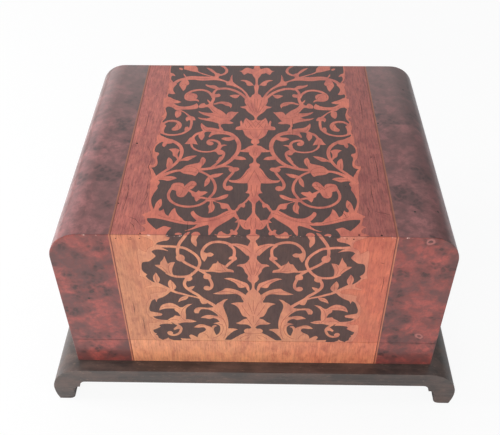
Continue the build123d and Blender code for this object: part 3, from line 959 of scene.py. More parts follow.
# The drawings give the right half of each panel: x is the distance from the middle line; y is the height
# on the front and the distance back from the middle on the top. Columns straddle the line, scrolls and
# engraved lines are mirrored over it, and cracks and holes lie where they are, on either half.
FRONT_COLUMN = [
    both((4.6, 192), (4.4, 188.5), (1.9, 185), (3.1, 181.5), (4, 178), (4, 172), (2.6, 167.5),
         (4.3, 163.5), (6.5, 161.4), (10.3, 160.8), (12.2, 158.7), (9, 158.3), (7, 156), (6, 152.5),
         (3.8, 148.5), (4.2, 145), (3, 142.5), (1.3, 140.5), (1.2, 134), (3.2, 131.3), (5.4, 128),
         (6.5, 122), (8, 118), (13, 118), (17.5, 116.5), (14, 114.5), (11.5, 111), (10, 106), (8, 101.6),
         (5, 100), (5, 98.5), (8, 97.5), (11, 94.5), (14, 93), (11, 91.5), (5, 91), (1.6, 87.5), (3, 86),
         (5.5, 86), (7.6, 83.5), (6.5, 80.5), (10, 78.5), (14, 75), (18, 71.5), (21, 70), (21, 66)),
]
FRONT = [
    leaf((3, 179), (8, 181.5), (12, 182.3), (17, 181.6), (18, 180), (14, 180), (12, 179), (9, 176),
         (4.5, 170), (2, 172)),
    stem(2.4, (16, 181), (20, 183), (25, 183.8), (30, 182.8), (34, 179.5), (36.4, 175.5), (37.2, 172),
         (37, 168.8), (36.2, 165.4), end=2.2),
    leaf((28.6, 171), (31, 172.9), (34, 172.4), (36, 174), (38.2, 171), (37.8, 167.5), (36, 163.2),
         (34.4, 166), (33.4, 168.8), (30.5, 168.8)),
    stem(2.2, (17, 180.5), (14, 177), (13.5, 173), (14, 169), (13.8, 166), (15, 164.5), (18, 161),
         (20, 158)),
    leaf((11.8, 167), (13, 169.5), (15.5, 169.3), (17.5, 168), (17.8, 166), (15, 165.5), (13, 164.8)),
    leaf((26, 164.6), (27.4, 161.6), (29.3, 161.2), (31, 158), (33.4, 154.2), (30, 152.6), (25, 151.7),
         (20, 152.5), (14.5, 152), (15, 154.5), (19, 156), (20.6, 159), (23, 160.6), (24.8, 162)),
    stem(2.4, (46.5, 192), (50.5, 186), (53.3, 181), (54.8, 175), (54.5, 169), (51, 163), (47, 159.5),
         (42, 156), (38.5, 153), (35, 149.5), (32.3, 143), (31.3, 138), (32.3, 134.5), (35, 132.7)),
    ball(35.3, 134.3, 2.6),
    leaf((50, 167), (51.5, 170), (54.5, 170.5), (56.5, 168.5), (56, 164.8), (53.5, 163.2), (51, 164.5)),
    leaf((31.5, 147), (32.5, 149.8), (35.5, 150.5), (37.3, 148), (37, 145), (34.5, 144.3), (32.5, 145)),
    stem(2.0, (29.5, 154), (37, 153.6), (42, 155.5)),
    stem(2.3, (70, 179.5), (65, 178.8), (60, 178.8), (55, 178.2), (50, 177.3), (46, 174.5), (42.5, 171),
         (40, 166.5), (39.3, 162), (40.3, 158), (42, 154.5), (44.5, 151), (48, 148), (52, 146.8),
         (57, 146.8), (61, 148), (65, 151)),
    leaf((65, 169), (66.5, 165), (68.5, 162), (68.8, 159.5), (73, 159.3), (72, 157.8), (69, 155),
         (66, 151.5), (64, 149.5), (60, 149), (60.5, 152), (60, 156), (57.5, 162.5), (61, 162),
         (63, 160.5), (64, 164)),
    stem(2.2, (45, 151), (48.5, 146), (50.8, 143.5), (52.2, 139.5), (51.8, 136), (49.5, 132.5), (46, 129),
         (43, 126.5), (40, 122.5), (36, 119), (32, 115.5), (28, 111), end=3.0),
    leaf((46, 144), (46.5, 147), (49.5, 147.5), (51.5, 145.5), (51, 142.5), (48.5, 142)),
    leaf((44.5, 136.5), (47, 136), (50, 134.5), (48.5, 132), (46.5, 133)),
    leaf((35.5, 118), (37, 116), (40, 115.8), (41, 118), (41.8, 121.5), (39, 121.8)),
    leaf((37.5, 192), (39, 189), (40.5, 186), (40.3, 182), (41, 178.7), (44, 183), (44.3, 186),
         (43.5, 190), (43, 192)),
    leaf((14, 191), (17, 188.5), (20, 187.8), (25, 188), (26.3, 191), (26, 193), (24, 191), (20, 190.5),
         (17, 192), (15, 193)),
    leaf((30, 192.5), (30.3, 190.3), (32, 190.3), (32.5, 192.5)),
    leaf((52, 192.5), (52.5, 190.8), (55.5, 190.8), (56, 192.5)),
    leaf((72.8, 151), (75.5, 146), (75, 141.5), (73, 138.5), (70.5, 143.5), (71.5, 147.5)),
    leaf((62.8, 143.5), (64.8, 139), (64, 134.5), (61.5, 131.5), (58.8, 135), (60, 139)),
    leaf((4, 139), (9, 142.5), (14, 145), (18, 146), (22, 145), (17, 143), (13, 139.5), (11, 135.5),
         (9, 135), (6, 136), (3, 129)),
    leaf((4, 124), (7, 128), (11, 131.5), (16, 133.8), (21, 134.3), (23, 132.5), (26, 130.5), (31, 128),
         (26, 127.3), (20, 127.5), (14, 128), (10, 125.5), (8.5, 122), (6, 116)),
    leaf((24, 69), (22, 74.5), (19, 79), (16, 82.5), (12.5, 84.5), (15, 85.8), (20.5, 86), (20, 92),
         (20.5, 98), (21.5, 104), (23, 110), (23.5, 114), (22.5, 118), (19.5, 122), (23, 121), (25, 119),
         (28.5, 116), (30, 113), (35, 111.3), (40, 111.8), (44, 111.3), (46.8, 108), (46, 104.5),
         (43.3, 104.5), (42.5, 107), (41, 109.5), (35, 109), (31, 106), (27.5, 101.5), (30, 101.5),
         (34, 102.5), (38, 102), (42, 99), (38, 98.5), (35, 97.5), (32, 98.8), (29, 97.5), (27, 94),
         (29, 93.5), (32.5, 92), (29, 91), (27, 88.5), (27, 83), (28.5, 79), (30.5, 77.3), (31, 79),
         (33, 86), (36, 88.5), (40, 90.5), (44, 90.5), (48, 86.8), (44, 86.5), (40, 87), (38.5, 85),
         (39, 83), (41, 81), (44, 79), (45.5, 76), (46, 68)),
    leaf((29, 88.8), (31, 90.3), (33.5, 88), (33, 84.5), (32, 80), (31.2, 78), (32.2, 83), (31.5, 87)),
    stem(1.4, (41, 122), (45, 124), (50, 125.5), (55, 127.5), (60, 129.5), (65, 133), (70, 136.5),
         (75, 140), end=3.2),
    leaf((50, 124.5), (54, 124.4), (57, 122), (58.5, 117.5), (55.5, 119.5), (52, 121)),
    leaf((69, 130), (70, 126), (74, 121.5), (75.5, 117.5), (76.5, 121.5), (79.5, 119)),
    leaf((45.5, 94.5), (50, 96.5), (54, 97), (53.5, 102), (53.5, 107), (52.3, 111), (47.5, 115.7),
         (52, 114.8), (55, 112), (57.5, 111.5), (60, 114), (64, 116.5), (68, 116), (72, 113.5),
         (74.3, 107.5), (70, 109.5), (66, 110), (62, 110), (61.8, 107.5), (59.5, 105), (58, 100.5),
         (62.5, 101.5), (64, 99.5), (67, 97.5), (69.5, 94), (66, 92.8), (64, 92), (63, 90.3), (60, 91.5),
         (55, 93), (50, 93)),
    stem(2.4, (67, 95), (72, 93.5), (76, 92), (79, 88.5), end=3.4),
    stem(2.0, (64, 92.5), (60.3, 89), (58.6, 86), (59.2, 82), (61, 78.8), (63.5, 77), (66, 76.6),
         (69, 78), end=2.4),
    ball(68, 79.3, 2.4),
    leaf((60, 89.5), (62.5, 87.5), (65, 84.5), (64, 83), (61.5, 84.5), (59, 84)),
]
FRONT_GROUND = [
    (0, 193), (63, 193), (62, 189), (59.5, 188), (61, 185), (65, 184), (68.5, 182.5), (70, 180.8),
    (70, 179), (66, 177.5), (61.3, 173.8), (68, 175.5), (72, 175), (74, 173), (72, 170), (71.5, 168.5),
    (73.5, 166), (77, 163), (80, 162.5), (82, 161.5), (83, 156), (82.5, 152.5), (79.5, 149), (81, 147),
    (80, 145), (77.5, 142), (75, 140), (72, 137.5), (69, 136), (64, 133.5), (62, 131.5), (64.5, 128.8),
    (67, 126), (70, 123.5), (74, 121.2), (75.5, 118), (76.5, 121), (79, 119), (81, 114), (82, 110),
    (81.5, 106.5), (79, 105.5), (75, 104.5), (72.3, 103.3), (73, 101.5), (77, 100.5), (80, 100),
    (78, 97.5), (74, 96), (70, 95.5), (66.5, 93), (65, 90.5), (70, 91), (75, 90), (76, 88.5), (75, 87.2),
    (78, 85), (81.5, 83), (81, 80), (79, 78.5), (80, 77), (78.5, 75.5), (78, 72.5), (76.5, 71.5),
    (75, 69.8), (73, 71), (71, 72), (70, 73.5), (69, 71.5), (64, 69.2), (61, 69.2), (59, 70.5),
    (60, 72.5), (55, 72), (51, 72), (52, 73.5), (52.5, 76), (51, 77.5), (49, 76.5), (46, 74), (45, 73),
    (42, 72.2), (37, 74.5), (33, 76), (30.7, 75.5), (27.5, 76.3), (24.5, 72.8), (23, 71.2), (0, 71.2),
]
FRONT_BORDER = [
    (0, 193), (86, 193), (84, 190.8), (78, 188), (74, 186), (72, 183.4), (72.2, 179), (76, 176.5),
    (77.5, 172.5), (80, 174), (83.2, 176.6), (84.4, 173), (84.6, 165), (84.5, 158), (84.9, 150.5),
    (86.2, 147), (83, 146), (80.5, 144.5), (78, 141.8), (77.5, 137.5), (80, 136), (82.8, 135),
    (82.5, 133.8), (79, 134.2), (74, 135.2), (66, 132.5), (68, 129.6), (74, 128.6), (80, 126.5),
    (79.5, 122), (81.5, 119), (83.5, 115), (84.2, 110), (84.3, 106), (84, 103), (82.5, 100), (80, 97.5),
    (77, 95.8), (73.5, 94.8), (76, 93.5), (79.5, 92), (82, 92.3), (84.3, 91.5), (84.6, 86), (84.5, 82),
    (83.8, 78), (83, 75.5), (82, 73), (80.5, 70.5), (78.5, 68), (0, 68),
]
FRONT_LINES = [
    [(4.2, 118), (2.4, 112), (0.8, 104)], [(9, 115), (6.6, 109), (3, 102)], [(0, 121), (0, 108)],
    [(5, 98.6), (3.4, 95), (1.2, 90)], [(0, 102), (0, 94)], [(7.4, 80.6), (4, 79.7), (0, 79.5)],
    [(2, 77.6), (6, 77), (9, 75), (11.4, 72.4)], [(3, 76), (4.4, 73.6), (7, 71.8)],
    [(24.6, 73), (22.6, 79), (21.8, 87), (23.4, 96), (27, 103), (31, 108)],
    [(33, 73.4), (28, 76.6), (24.8, 83), (25, 91)], [(24, 97), (28, 100.4), (34, 101)],
    [(25.2, 90), (28, 92.4)], [(34, 87.6), (38, 89.4), (43, 89.4)], [(41, 79.6), (38, 76.8), (36.6, 73)],
    [(3, 164), (1.9, 157), (0.6, 149.6)], [(5.6, 160), (4, 154.4), (1.8, 148.6)], [(0, 163), (0, 152)],
    [(2, 173), (6, 178.2), (12, 180.7)], [(5, 134.6), (10, 140), (18, 144.6)],
    [(7, 121.6), (12, 127.4), (20, 130.6), (27, 129.4)], [(0, 184), (0, 174)],
    [(62, 150), (63, 156), (61, 161)], [(64.4, 151), (68, 157.4), (71, 158.4)],
    [(54, 94.8), (57.4, 100), (56.4, 107), (53.2, 112.2)], [(59.6, 95), (64, 96.6), (68.4, 94.6)],
    [(57.6, 109.4), (62, 112.4), (68, 112.6), (72, 110.6)], [(24, 162), (22.6, 157.6), (20, 153.8)],
    [(17, 153.6), (22, 153.4), (28, 154.6)], [(73.4, 150), (73.6, 145), (73, 140)],
    [(61.6, 142), (61.8, 137), (61.6, 133)], [(47, 95.4), (50, 94.8), (53, 94.8)],
    [(52.4, 123.4), (56, 121.2)],
]
TOP_COLUMN = [
    both((2.2, 119), (2.8, 114), (3.5, 111), (7, 113), (9.5, 113.8), (12, 112), (14, 108.6), (17, 107.6),
         (14.4, 106), (13.3, 103), (12, 100.8), (10.3, 102.5), (8.6, 104.4), (6.2, 103), (4.8, 102.8),
         (3, 98), (1.5, 94.5), (1.1, 90), (1.1, 85), (2.2, 80.5), (1.8, 76), (1.4, 71.5), (1.9, 67.8),
         (3.6, 66), (5, 62.5), (9.7, 60.5), (10.3, 56), (9.5, 52), (8.2, 49.5), (10.5, 48), (14, 47.2),
         (12.6, 45.4), (9.5, 44), (8, 41), (6.2, 38), (3.2, 34.5), (1.3, 31), (1.1, 27), (4.5, 26),
         (6.5, 27.5), (8.2, 30), (9.8, 26.5), (10.4, 22.5), (10.9, 19), (11.4, 23), (12.6, 25.8),
         (13.4, 24), (13, 20), (13.3, 17.5), (16.3, 16), (16.8, 12.3), (14.5, 11.8), (11, 12.2),
         (10, 9.5), (9.2, 6), (7.5, 3), (4.5, -0.3), (2.6, -1.8), (3.4, -4), (3.2, -6.5), (1.4, -8.6),
         (1.8, -9.8), (4.5, -10.8), (7.5, -13.8), (10, -16), (13, -16.4), (12.5, -18.4), (9, -19),
         (5, -19.3), (4.5, -22), (3, -24.7), (1.3, -27.5), (1.1, -31.5), (2.2, -33.6), (4, -34.8),
         (4.2, -36.8), (3.3, -38.6), (5.2, -41.2), (7, -44.5), (8.6, -48.5), (10.6, -52.2), (13.2, -54.6),
         (16.5, -55.2), (20.2, -54.6), (18.6, -57.4), (15, -58.4), (10, -58.9), (5.2, -58.6), (4.8, -64),
         (5, -67), (6.6, -70.4), (3.8, -71), (3.3, -73.5), (4.7, -76.5), (3.6, -79), (1.6, -82),
         (1.2, -86), (1.2, -93), (2.6, -96.3), (4.4, -99.4), (5.3, -101.6), (7.5, -100.6), (10.4, -100.2),
         (9.9, -104), (8.4, -107.8), (6, -110.6), (2.2, -110.4), (1.8, -113.5), (2.2, -115.4),
         (4.6, -116.6), (4.4, -119)),
]
TOP = [
    # leaf pair on the upper stem
    leaf((1.6, 80.5), (3.6, 82.4), (6.4, 81.5), (8.7, 82.6), (9.8, 86.6), (11.5, 89), (15.4, 90.7),
         (13, 91.8), (10, 91.5), (7, 89.6), (4.4, 86.5), (2.3, 82)),
    # great stem to the back scroll
    leaf((5.5, 60.5), (7, 65), (8.5, 69), (10.7, 73), (13.2, 77), (16.2, 80.7), (19.2, 84.2),
         (21.8, 88.4), (22.6, 93), (22.9, 101.2), (24.4, 96.5), (25.2, 91), (26.8, 88.9), (29.5, 90.7),
         (33, 93), (35.3, 95), (35.4, 97.5), (34, 99.5), (36, 101), (41, 97.2), (46, 97.4), (52, 97.6),
         (60.5, 98.2), (65.8, 97), (68.9, 103), (68.4, 99), (66.8, 95.6), (69, 92.6), (66, 90.5),
         (63, 91.6), (58, 91.8), (53, 90.6), (48, 90.4), (42, 91.2), (36, 91), (32, 89.6), (28.6, 87.4),
         (28, 84.8), (27.4, 82.4), (24.5, 82.2), (21.5, 81), (17.5, 78.2), (14, 74.5), (11, 69.5),
         (9, 64), (8, 60)),
    stem(2.6, (35.8, 99.8), (31.5, 101.6), (29, 104.8), (28.5, 108.6), (29.6, 112.2), (32, 115.6),
         (36, 119)),
    leaf((33.6, 100.5), (35.4, 103), (38, 104.2), (41, 108.6), (44.3, 112), (48.6, 113.4), (45.5, 109.4),
         (42.6, 105.8), (39.4, 101.6), (39.6, 98.4), (37, 98)),
    stem(1.5, (40.5, 97), (44, 98.6), (48, 100.8), (52, 103), (56.5, 106.4)),
    leaf((54.6, 105.2), (55.8, 108), (56.2, 111.5), (58, 115.5), (60.4, 119), (71, 119), (69.5, 114.5),
         (69.3, 110.6), (66, 109), (62.5, 107.2), (59, 106)),
    leaf((70.4, 111), (72.6, 113.2), (74.4, 112.6), (73.2, 110), (71, 109)),
    stem(3.2, (66.5, 94), (70, 92.2), (73.2, 89.6), (76, 85), (78, 80), end=4),
    leaf((64.4, 91.5), (62.6, 87), (62.3, 84), (64, 82), (64.8, 78), (65.2, 75.2), (66.7, 72.3),
         (68.2, 75.4), (69.6, 78.4), (71.2, 82.6), (70.8, 86.6), (69.2, 91.5)),
    # second stem with its leaf and snail
    stem(2.9, (8.5, 59.5), (11.4, 64.6), (15, 69.2), (19, 72.8), (23, 75.2), (28, 76.8), (32, 76.6),
         (35.2, 75.6), end=3.4),
    leaf((33.6, 77.8), (36, 79.4), (37.4, 81.4), (40, 82.2), (43, 82.2), (46.9, 84.1), (46.6, 81.6),
         (43.6, 79), (40, 76.7), (37.4, 76), (37.9, 73.8), (35.8, 73.4)),
    stem(2.4, (35.6, 76), (37.6, 72.6), (38.7, 69), (38.4, 64), (38.3, 59), (39, 55), (39.8, 51.5),
         end=2.8),
    leaf((38, 68), (36.3, 67.3), (34, 68.1), (32.4, 66), (33, 63.2), (34.7, 62.4), (37.4, 61.8)),
    stem(2.5, (39, 61), (40.2, 65.4), (42.4, 69.4), (45.6, 72.6), (50, 74.2), (55, 73.6), (59, 71.6),
         (61.8, 68.2), end=3),
    leaf((60.2, 70.6), (63, 69.4), (64.8, 65), (64.6, 60.4), (62.4, 57), (58.6, 55.8), (54, 56.2),
         (51, 54.4), (51.8, 57.6), (54.2, 59.2), (53, 61.8), (53.4, 65.4), (56, 68), (59.4, 68.4),
         (61, 66.8)),
    leaf((14.5, 67.4), (16.5, 66.4), (20, 66.6), (24.2, 64.8), (21.4, 62), (19, 60.7), (17, 61.6),
         (15.6, 64.2)),
    # leaf over the bird
    leaf((22.6, 44.8), (21.4, 48), (21.8, 51), (24.2, 53.6), (28, 54.9), (32.4, 54.8), (36, 53),
         (38.6, 51), (36.4, 50.4), (32.6, 51.8), (29.6, 51.4), (28, 49.8), (26, 48.4), (23.8, 47.8)),
    leaf((38.2, 54), (40.3, 54.4), (42, 56.4), (43.6, 58.6), (43.4, 55.6), (41.8, 52.4), (43, 50.2),
         (44.6, 49.8), (45.8, 52.4), (47.5, 52.4), (49.6, 50.4), (50.6, 47.4), (50, 45), (47, 44.9),
         (43.4, 46.3), (41.4, 45), (39.8, 42), (38.3, 39.2), (37, 37.2), (41, 37.2), (45, 37.6),
         (50.4, 39.8), (48.6, 36.8), (45.4, 34.2), (41.2, 32), (39, 30.6), (41.4, 29.2), (45, 28.8),
         (50.4, 30.2), (48, 27.6), (44, 25.9), (39, 24.4), (34.4, 22.4), (31.6, 20.4), (31.8, 18.4),
         (30.8, 15.6), (30.6, 12.5), (27, 10.5), (28, 14), (29.6, 17), (29.2, 20), (26, 21), (22.6, 20.6),
         (19, 21.9), (20.4, 23.6), (23, 25), (21, 27.4), (19.6, 30.2), (17.8, 33.8), (16.3, 36.6),
         (14.9, 38.7), (18.6, 38.7), (21.4, 39.4), (24, 38.2), (25.6, 34.2), (27.4, 37), (30.6, 41),
         (34.4, 44.2), (37.2, 47.6), (38.5, 50.8)),
    # branch from the border
    leaf((51.6, 44.4), (51, 47.6), (52.9, 52.2), (55, 50), (58, 48), (63, 46.8), (68, 47.4), (71.6, 50),
         (73.4, 52), (69.4, 52.4), (66.7, 54.1), (69.6, 56.2), (74, 58.6), (78.5, 62), (83, 60), (82, 46),
         (77.4, 46.8), (74, 45.4), (70.4, 41.4), (66.6, 39.6), (63, 37.6), (60.4, 34), (58.6, 31.2),
         (56.6, 32), (60, 36), (63.6, 39.6), (66.6, 42.2), (61, 42.3), (55.4, 42.8)),
    leaf((66, 39.6), (65, 35.6), (65.9, 32), (68.4, 29.3), (70, 32), (70.6, 36), (70.2, 40)),
    leaf((52, 25.8), (52.5, 28.6), (54.2, 31.2), (57, 31.8), (59.7, 30.8), (60.6, 28), (60, 25.4),
         (59, 23.8), (58, 25.6), (55, 25.8)),
    stem(2.2, (55.6, 27), (55, 22), (55.2, 17), (56, 12.8), (58.4, 9.2), (62, 6), (67, 4.2), (72, 4),
         (76, 5.2), (80, 8)),
    leaf((56.6, 13), (57.6, 16.2), (59.6, 15.8), (60.2, 12.6), (59.6, 9), (57.6, 10)),
    # border snail
    stem(2.4, (79.5, 18.5), (78, 22), (75, 24.3), (71, 24.8), (67.4, 23.4), (65, 20.4), (64.4, 16.4),
         end=2.8),
    leaf((67.6, 20.5), (65.4, 22), (63.4, 18), (63.6, 14.2), (65.4, 11.6), (68, 10.3), (70.6, 10.7),
         (71.2, 13), (70, 15), (68.8, 16.6)),
    # lower scroll
    leaf((26.6, 10.6), (28.4, 13.4), (31, 13), (36, 14.6), (41, 15.5), (43.8, 18), (46.5, 21.9),
         (46.9, 18), (46, 14), (44.4, 10.4), (47, 8.6), (50, 6.8), (52.2, 3.4), (53.4, 0.6), (51, -0.4),
         (49.6, 3.4), (47.6, 5), (47.2, 1), (45.6, -2), (44.6, -3.4), (43.4, -0.6), (42.6, 3), (43, 7.6),
         (41, 9), (37, 8.9), (38, 5.6), (39, 2.2), (38.2, 0.8), (36.9, 2.6), (35.4, 4.4), (32.4, 5.4),
         (28, 5.6), (24, 4.8), (21, 3.2), (18.5, 0), (14, -1.6), (15.4, 1.4), (17.4, 5), (20.4, 7.8),
         (24, 9.6)),
    stem(3.6, (18.5, 3.4), (15.6, -1), (13.8, -6), (13.2, -11), (13.5, -16), (14.7, -21), (17, -26),
         (20, -31), (24, -35.4), (28, -38), (33, -40), (38, -41.5), (44, -42.2), end=3),
    leaf((16, -0.6), (18.4, -2.2), (22, -4), (25, -3.2), (28.4, -1.2), (26, 1), (22.4, 1.2), (20, 2.4),
         (18, 3.4)),
    leaf((15, -24.4), (11.6, -25), (9, -26), (6.8, -28.8), (10.4, -29.5), (13.6, -29.2), (17, -28.4)),
    stem(2.2, (34, -39.6), (29, -38.8), (24, -37.8), (19.4, -38.6), (17, -41)),
    leaf((12, -41.6), (13, -39.6), (15, -39.2), (18, -39.4), (20.6, -40.6), (20.2, -43), (18.8, -45),
         (17.2, -44.4), (15.6, -44.6), (13.4, -43.6)),
    stem(2.2, (16.4, -43.6), (17.6, -47.4), (20, -51.8), (22, -56), (23, -60.4), (22.2, -64.4),
         (20, -66.6), end=2.6),
    ball(19.2, -64.9, 3.0),
    stem(2.2, (34, -39.4), (31, -35.4), (29, -32.2), (27, -28.8), (25.7, -25), (25.2, -21.4),
         (26.4, -18.6), (29.5, -16.6)),
    leaf((27, -24.8), (28.8, -26.4), (29.6, -29.4), (31.4, -32), (28.6, -31.4), (26.6, -28)),
    leaf((25.4, -20), (27, -17.8), (28.8, -16.8), (27.6, -13.6), (26.6, -11.6), (22.8, -10), (25.6, -9),
         (28.6, -9.6), (31, -10), (31, -12.6), (32.6, -15.6), (34.4, -18.4), (31.6, -19.4), (29.8, -22.6),
         (27.2, -22.6)),
    stem(2.2, (29.6, -11.4), (29.4, -8), (31.2, -4.8), (34.4, -3.2), (37.6, -3.2), (39, -5.4),
         (38.2, -8.2), end=3.0),
    ball(37, -7.8, 2.6),
    stem(1.8, (32, -16.6), (35.4, -18.4), (40, -19.1), (45, -18.3), (49, -15.9), (51.6, -12.6),
         (52.6, -9), (52.8, -5)),
    leaf((47.4, -9.4), (48.6, -6), (50, -2.6), (51.2, 0.4), (53.6, 0.8), (55.2, -1), (56.4, -4.6),
         (58.4, -8.4), (55, -8.6), (52, -8.2)),
    # side cup
    leaf((43, -43), (42.4, -39), (40.4, -35), (39.4, -31.5), (39.8, -28.4), (42.2, -26), (43.6, -29),
         (44.4, -33.2), (48.6, -35), (52, -36.2), (55, -37.9), (57.4, -41.2), (60.2, -43.6), (58, -45.4),
         (56, -47.2), (53, -48.2), (49.4, -48.8), (46.6, -50.6), (45, -48), (44, -45.4)),
    stem(2.2, (57, -43.8), (61, -43.9), (65, -45.4), (69, -47.8), (73, -51), (76, -54.6), (79, -59),
         end=4.6),
    leaf((60.3, -53.5), (62.6, -51.6), (66, -50.9), (69.6, -51.2), (73, -52.6), (76.6, -58.4),
         (73.6, -55.6), (70.6, -55.6), (67, -56.7), (63.6, -55.2)),
    stem(2.2, (46, -43.4), (41.6, -45.4), (37.6, -48.2), (34.4, -51.6), (31.8, -56), (30.2, -61),
         (29.8, -66), (30.6, -70.4), (32.6, -74.6), (35, -79), (38, -82.6), (42, -85.3), (47, -86.6),
         (52, -86.4), (57, -84.7), (61, -81.8), (63.8, -78), (64.9, -73.4), (64.4, -69), (62.8, -64.6)),
    leaf((24.3, -46.4), (27.4, -47), (31, -47.6), (34.2, -49.2), (36, -50.6), (34, -52), (30, -52),
         (27.2, -50.2)),
    leaf((36, -51.4), (34.4, -54.6), (34.6, -58), (36.2, -61.2), (38.2, -63.4), (38.4, -59),
         (37.9, -55.4)),
    # tall loop by the border
    stem(2.2, (80, -57), (76.6, -52), (72.4, -46.6), (69, -42.6), (65.6, -38.4), (62.8, -33.8),
         (60.9, -29), (59.8, -24), (59.6, -18.8), (60.8, -13.6), (63, -9.6), (66.4, -6.2), (70, -4),
         (76, -2.6), end=3.4),
    leaf((66, -4.8), (69, -2.4), (73, -1), (77, 1.6), (82, 4), (82, -6.6), (78, -5.8), (76, -6.6),
         (76.6, -10.4), (75, -13), (73.6, -11), (73, -8.4), (70, -8), (68, -6.8)),
    leaf((46.8, -24.2), (51, -24.4), (55, -26), (58.4, -28.7), (61.4, -31), (62.6, -34), (58, -31),
         (54, -31), (51.4, -29), (49, -26.6)),
    leaf((60.6, -29), (62.4, -25), (62.6, -21), (61.4, -17.4), (63.8, -15.2), (67, -14.8), (70.8, -16.1),
         (68.6, -18), (67.1, -20.6), (66.4, -24.4), (64.2, -26.4), (62.4, -29)),
    leaf((69.6, -26.8), (67.4, -28.8), (66, -31.6), (65.5, -35), (66, -38.8), (67.6, -43.4), (69.4, -41),
         (70.3, -37.6), (70.4, -33), (70.4, -29.6)),
    # snail with trefoil
    leaf((19.4, -72.2), (22.2, -72.7), (25, -74.4), (28, -76.2), (31, -76.6), (34, -76.8), (38, -75.4),
         (41, -75), (37.6, -72.6), (35.4, -70), (37.4, -68.9), (40.4, -69), (42.4, -67.9), (44.2, -70.2),
         (46.6, -68.8), (50, -66.6), (52.4, -68), (48.2, -70.6), (46.8, -74.4), (45, -76), (44.4, -78.6),
         (43, -80.8), (41.2, -78.4), (39.6, -77), (36, -78.6), (34.2, -80.4), (30.4, -80.4), (26, -82.6),
         (24.8, -84.6), (24.4, -87.2), (23, -88.8), (20, -88.2), (18.4, -90.4), (22, -92.8), (25, -95.4),
         (28, -97.4), (32, -98.7), (36, -98.7), (39, -97.5), (42, -95), (44.4, -91.2), (46.2, -92.8),
         (45.8, -95.4), (44, -98.4), (41.4, -101.8), (43, -103.4), (46, -102.8), (50, -102.4),
         (52.4, -99.4), (55, -96.6), (57, -93), (58.3, -88.2), (60.2, -90.2), (61.6, -93.8),
         (62.4, -97.2), (65, -94.8), (66.2, -91.4), (67, -89.2), (68.2, -91.2), (71.4, -91.4),
         (72.4, -89), (82, -96), (77.6, -99.4), (73, -99.6), (67, -100.8), (61, -102.8), (55, -104.7),
         (49, -106), (43, -106.2), (40.6, -105.4), (43.6, -109.4), (49.4, -112.6), (46, -112.2),
         (42, -110.4), (37, -107.9), (33, -106.4), (32, -108), (32.2, -112), (31.6, -117.8), (29.8, -115),
         (28.4, -112), (26, -108.4), (22, -104.6), (18, -101), (14.4, -97.2), (11.6, -100.6), (10.2, -99),
         (12.4, -94.4), (12.6, -90), (16.2, -89.6), (18, -85.6), (19.4, -83.4), (22, -82.5), (26, -81.6),
         (30, -79.4), (28, -79.4), (25, -78.4), (22, -77), (20, -75)),
    leaf((31, -79.4), (30.4, -82.6), (29.2, -85.4), (29.2, -89.4), (30.6, -92.2), (33.4, -94),
         (33.1, -90), (33.9, -86), (32.9, -83.4), (33.4, -79.6)),
    leaf((54, -64), (52, -60.4), (49.8, -57.4), (47.6, -56.5), (45.6, -57.8), (44.4, -60.4), (45.6, -63),
         (47.2, -65.6), (49.8, -67.8), (50.8, -71), (52.8, -75), (55.6, -76), (58.2, -74.4), (59.3, -71),
         (59.6, -68.6), (63.4, -66.8), (64, -64), (63, -60.4), (60, -58.8), (56.6, -58.9), (54.4, -60.6)),
    stem(1.6, (3.4, -75.4), (5.6, -79.6), (8, -83), (10.6, -86.4), (13, -91), end=2.2),
    leaf((6.6, -83), (9.2, -82.6), (11.6, -85), (11.8, -87.6), (9.6, -86.6), (7.2, -87.4), (6.4, -85)),
    leaf((68.9, -92.4), (70.4, -89.6), (68.8, -86), (68.9, -81.4), (70, -77.9), (72.2, -80.6),
         (73.4, -84), (73.8, -87.4), (75, -92)),
    # front edge bits
    stem(1.2, (12.6, -95), (11.2, -99.4), (10.4, -104.2), (11, -108.6), (12.6, -112.4), (14.6, -114.6),
         end=1.6),
    leaf((11.4, -100.6), (13.6, -103.4), (11.4, -103.6)),
    leaf((12, -112.6), (13.8, -112.4), (15, -110.8), (16.8, -111.4), (16.2, -114.2), (18, -116.2),
         (20.8, -114.8), (22.6, -112.8), (24.6, -114.2), (25.2, -116.6), (27.6, -116), (25.6, -118.6),
         (22, -119.6), (18, -118.8), (14.6, -116.4), (12, -117), (11, -115)),
    ball(40.8, -117, 3.3),
    leaf((45, -113.8), (46.6, -117.6), (49, -120.4), (51, -120.4), (49.6, -117.4), (47.4, -114.6)),
    leaf((50.6, -116.2), (53, -114.8), (55.6, -115.4), (55.8, -117.6), (52.4, -117.8)),
]
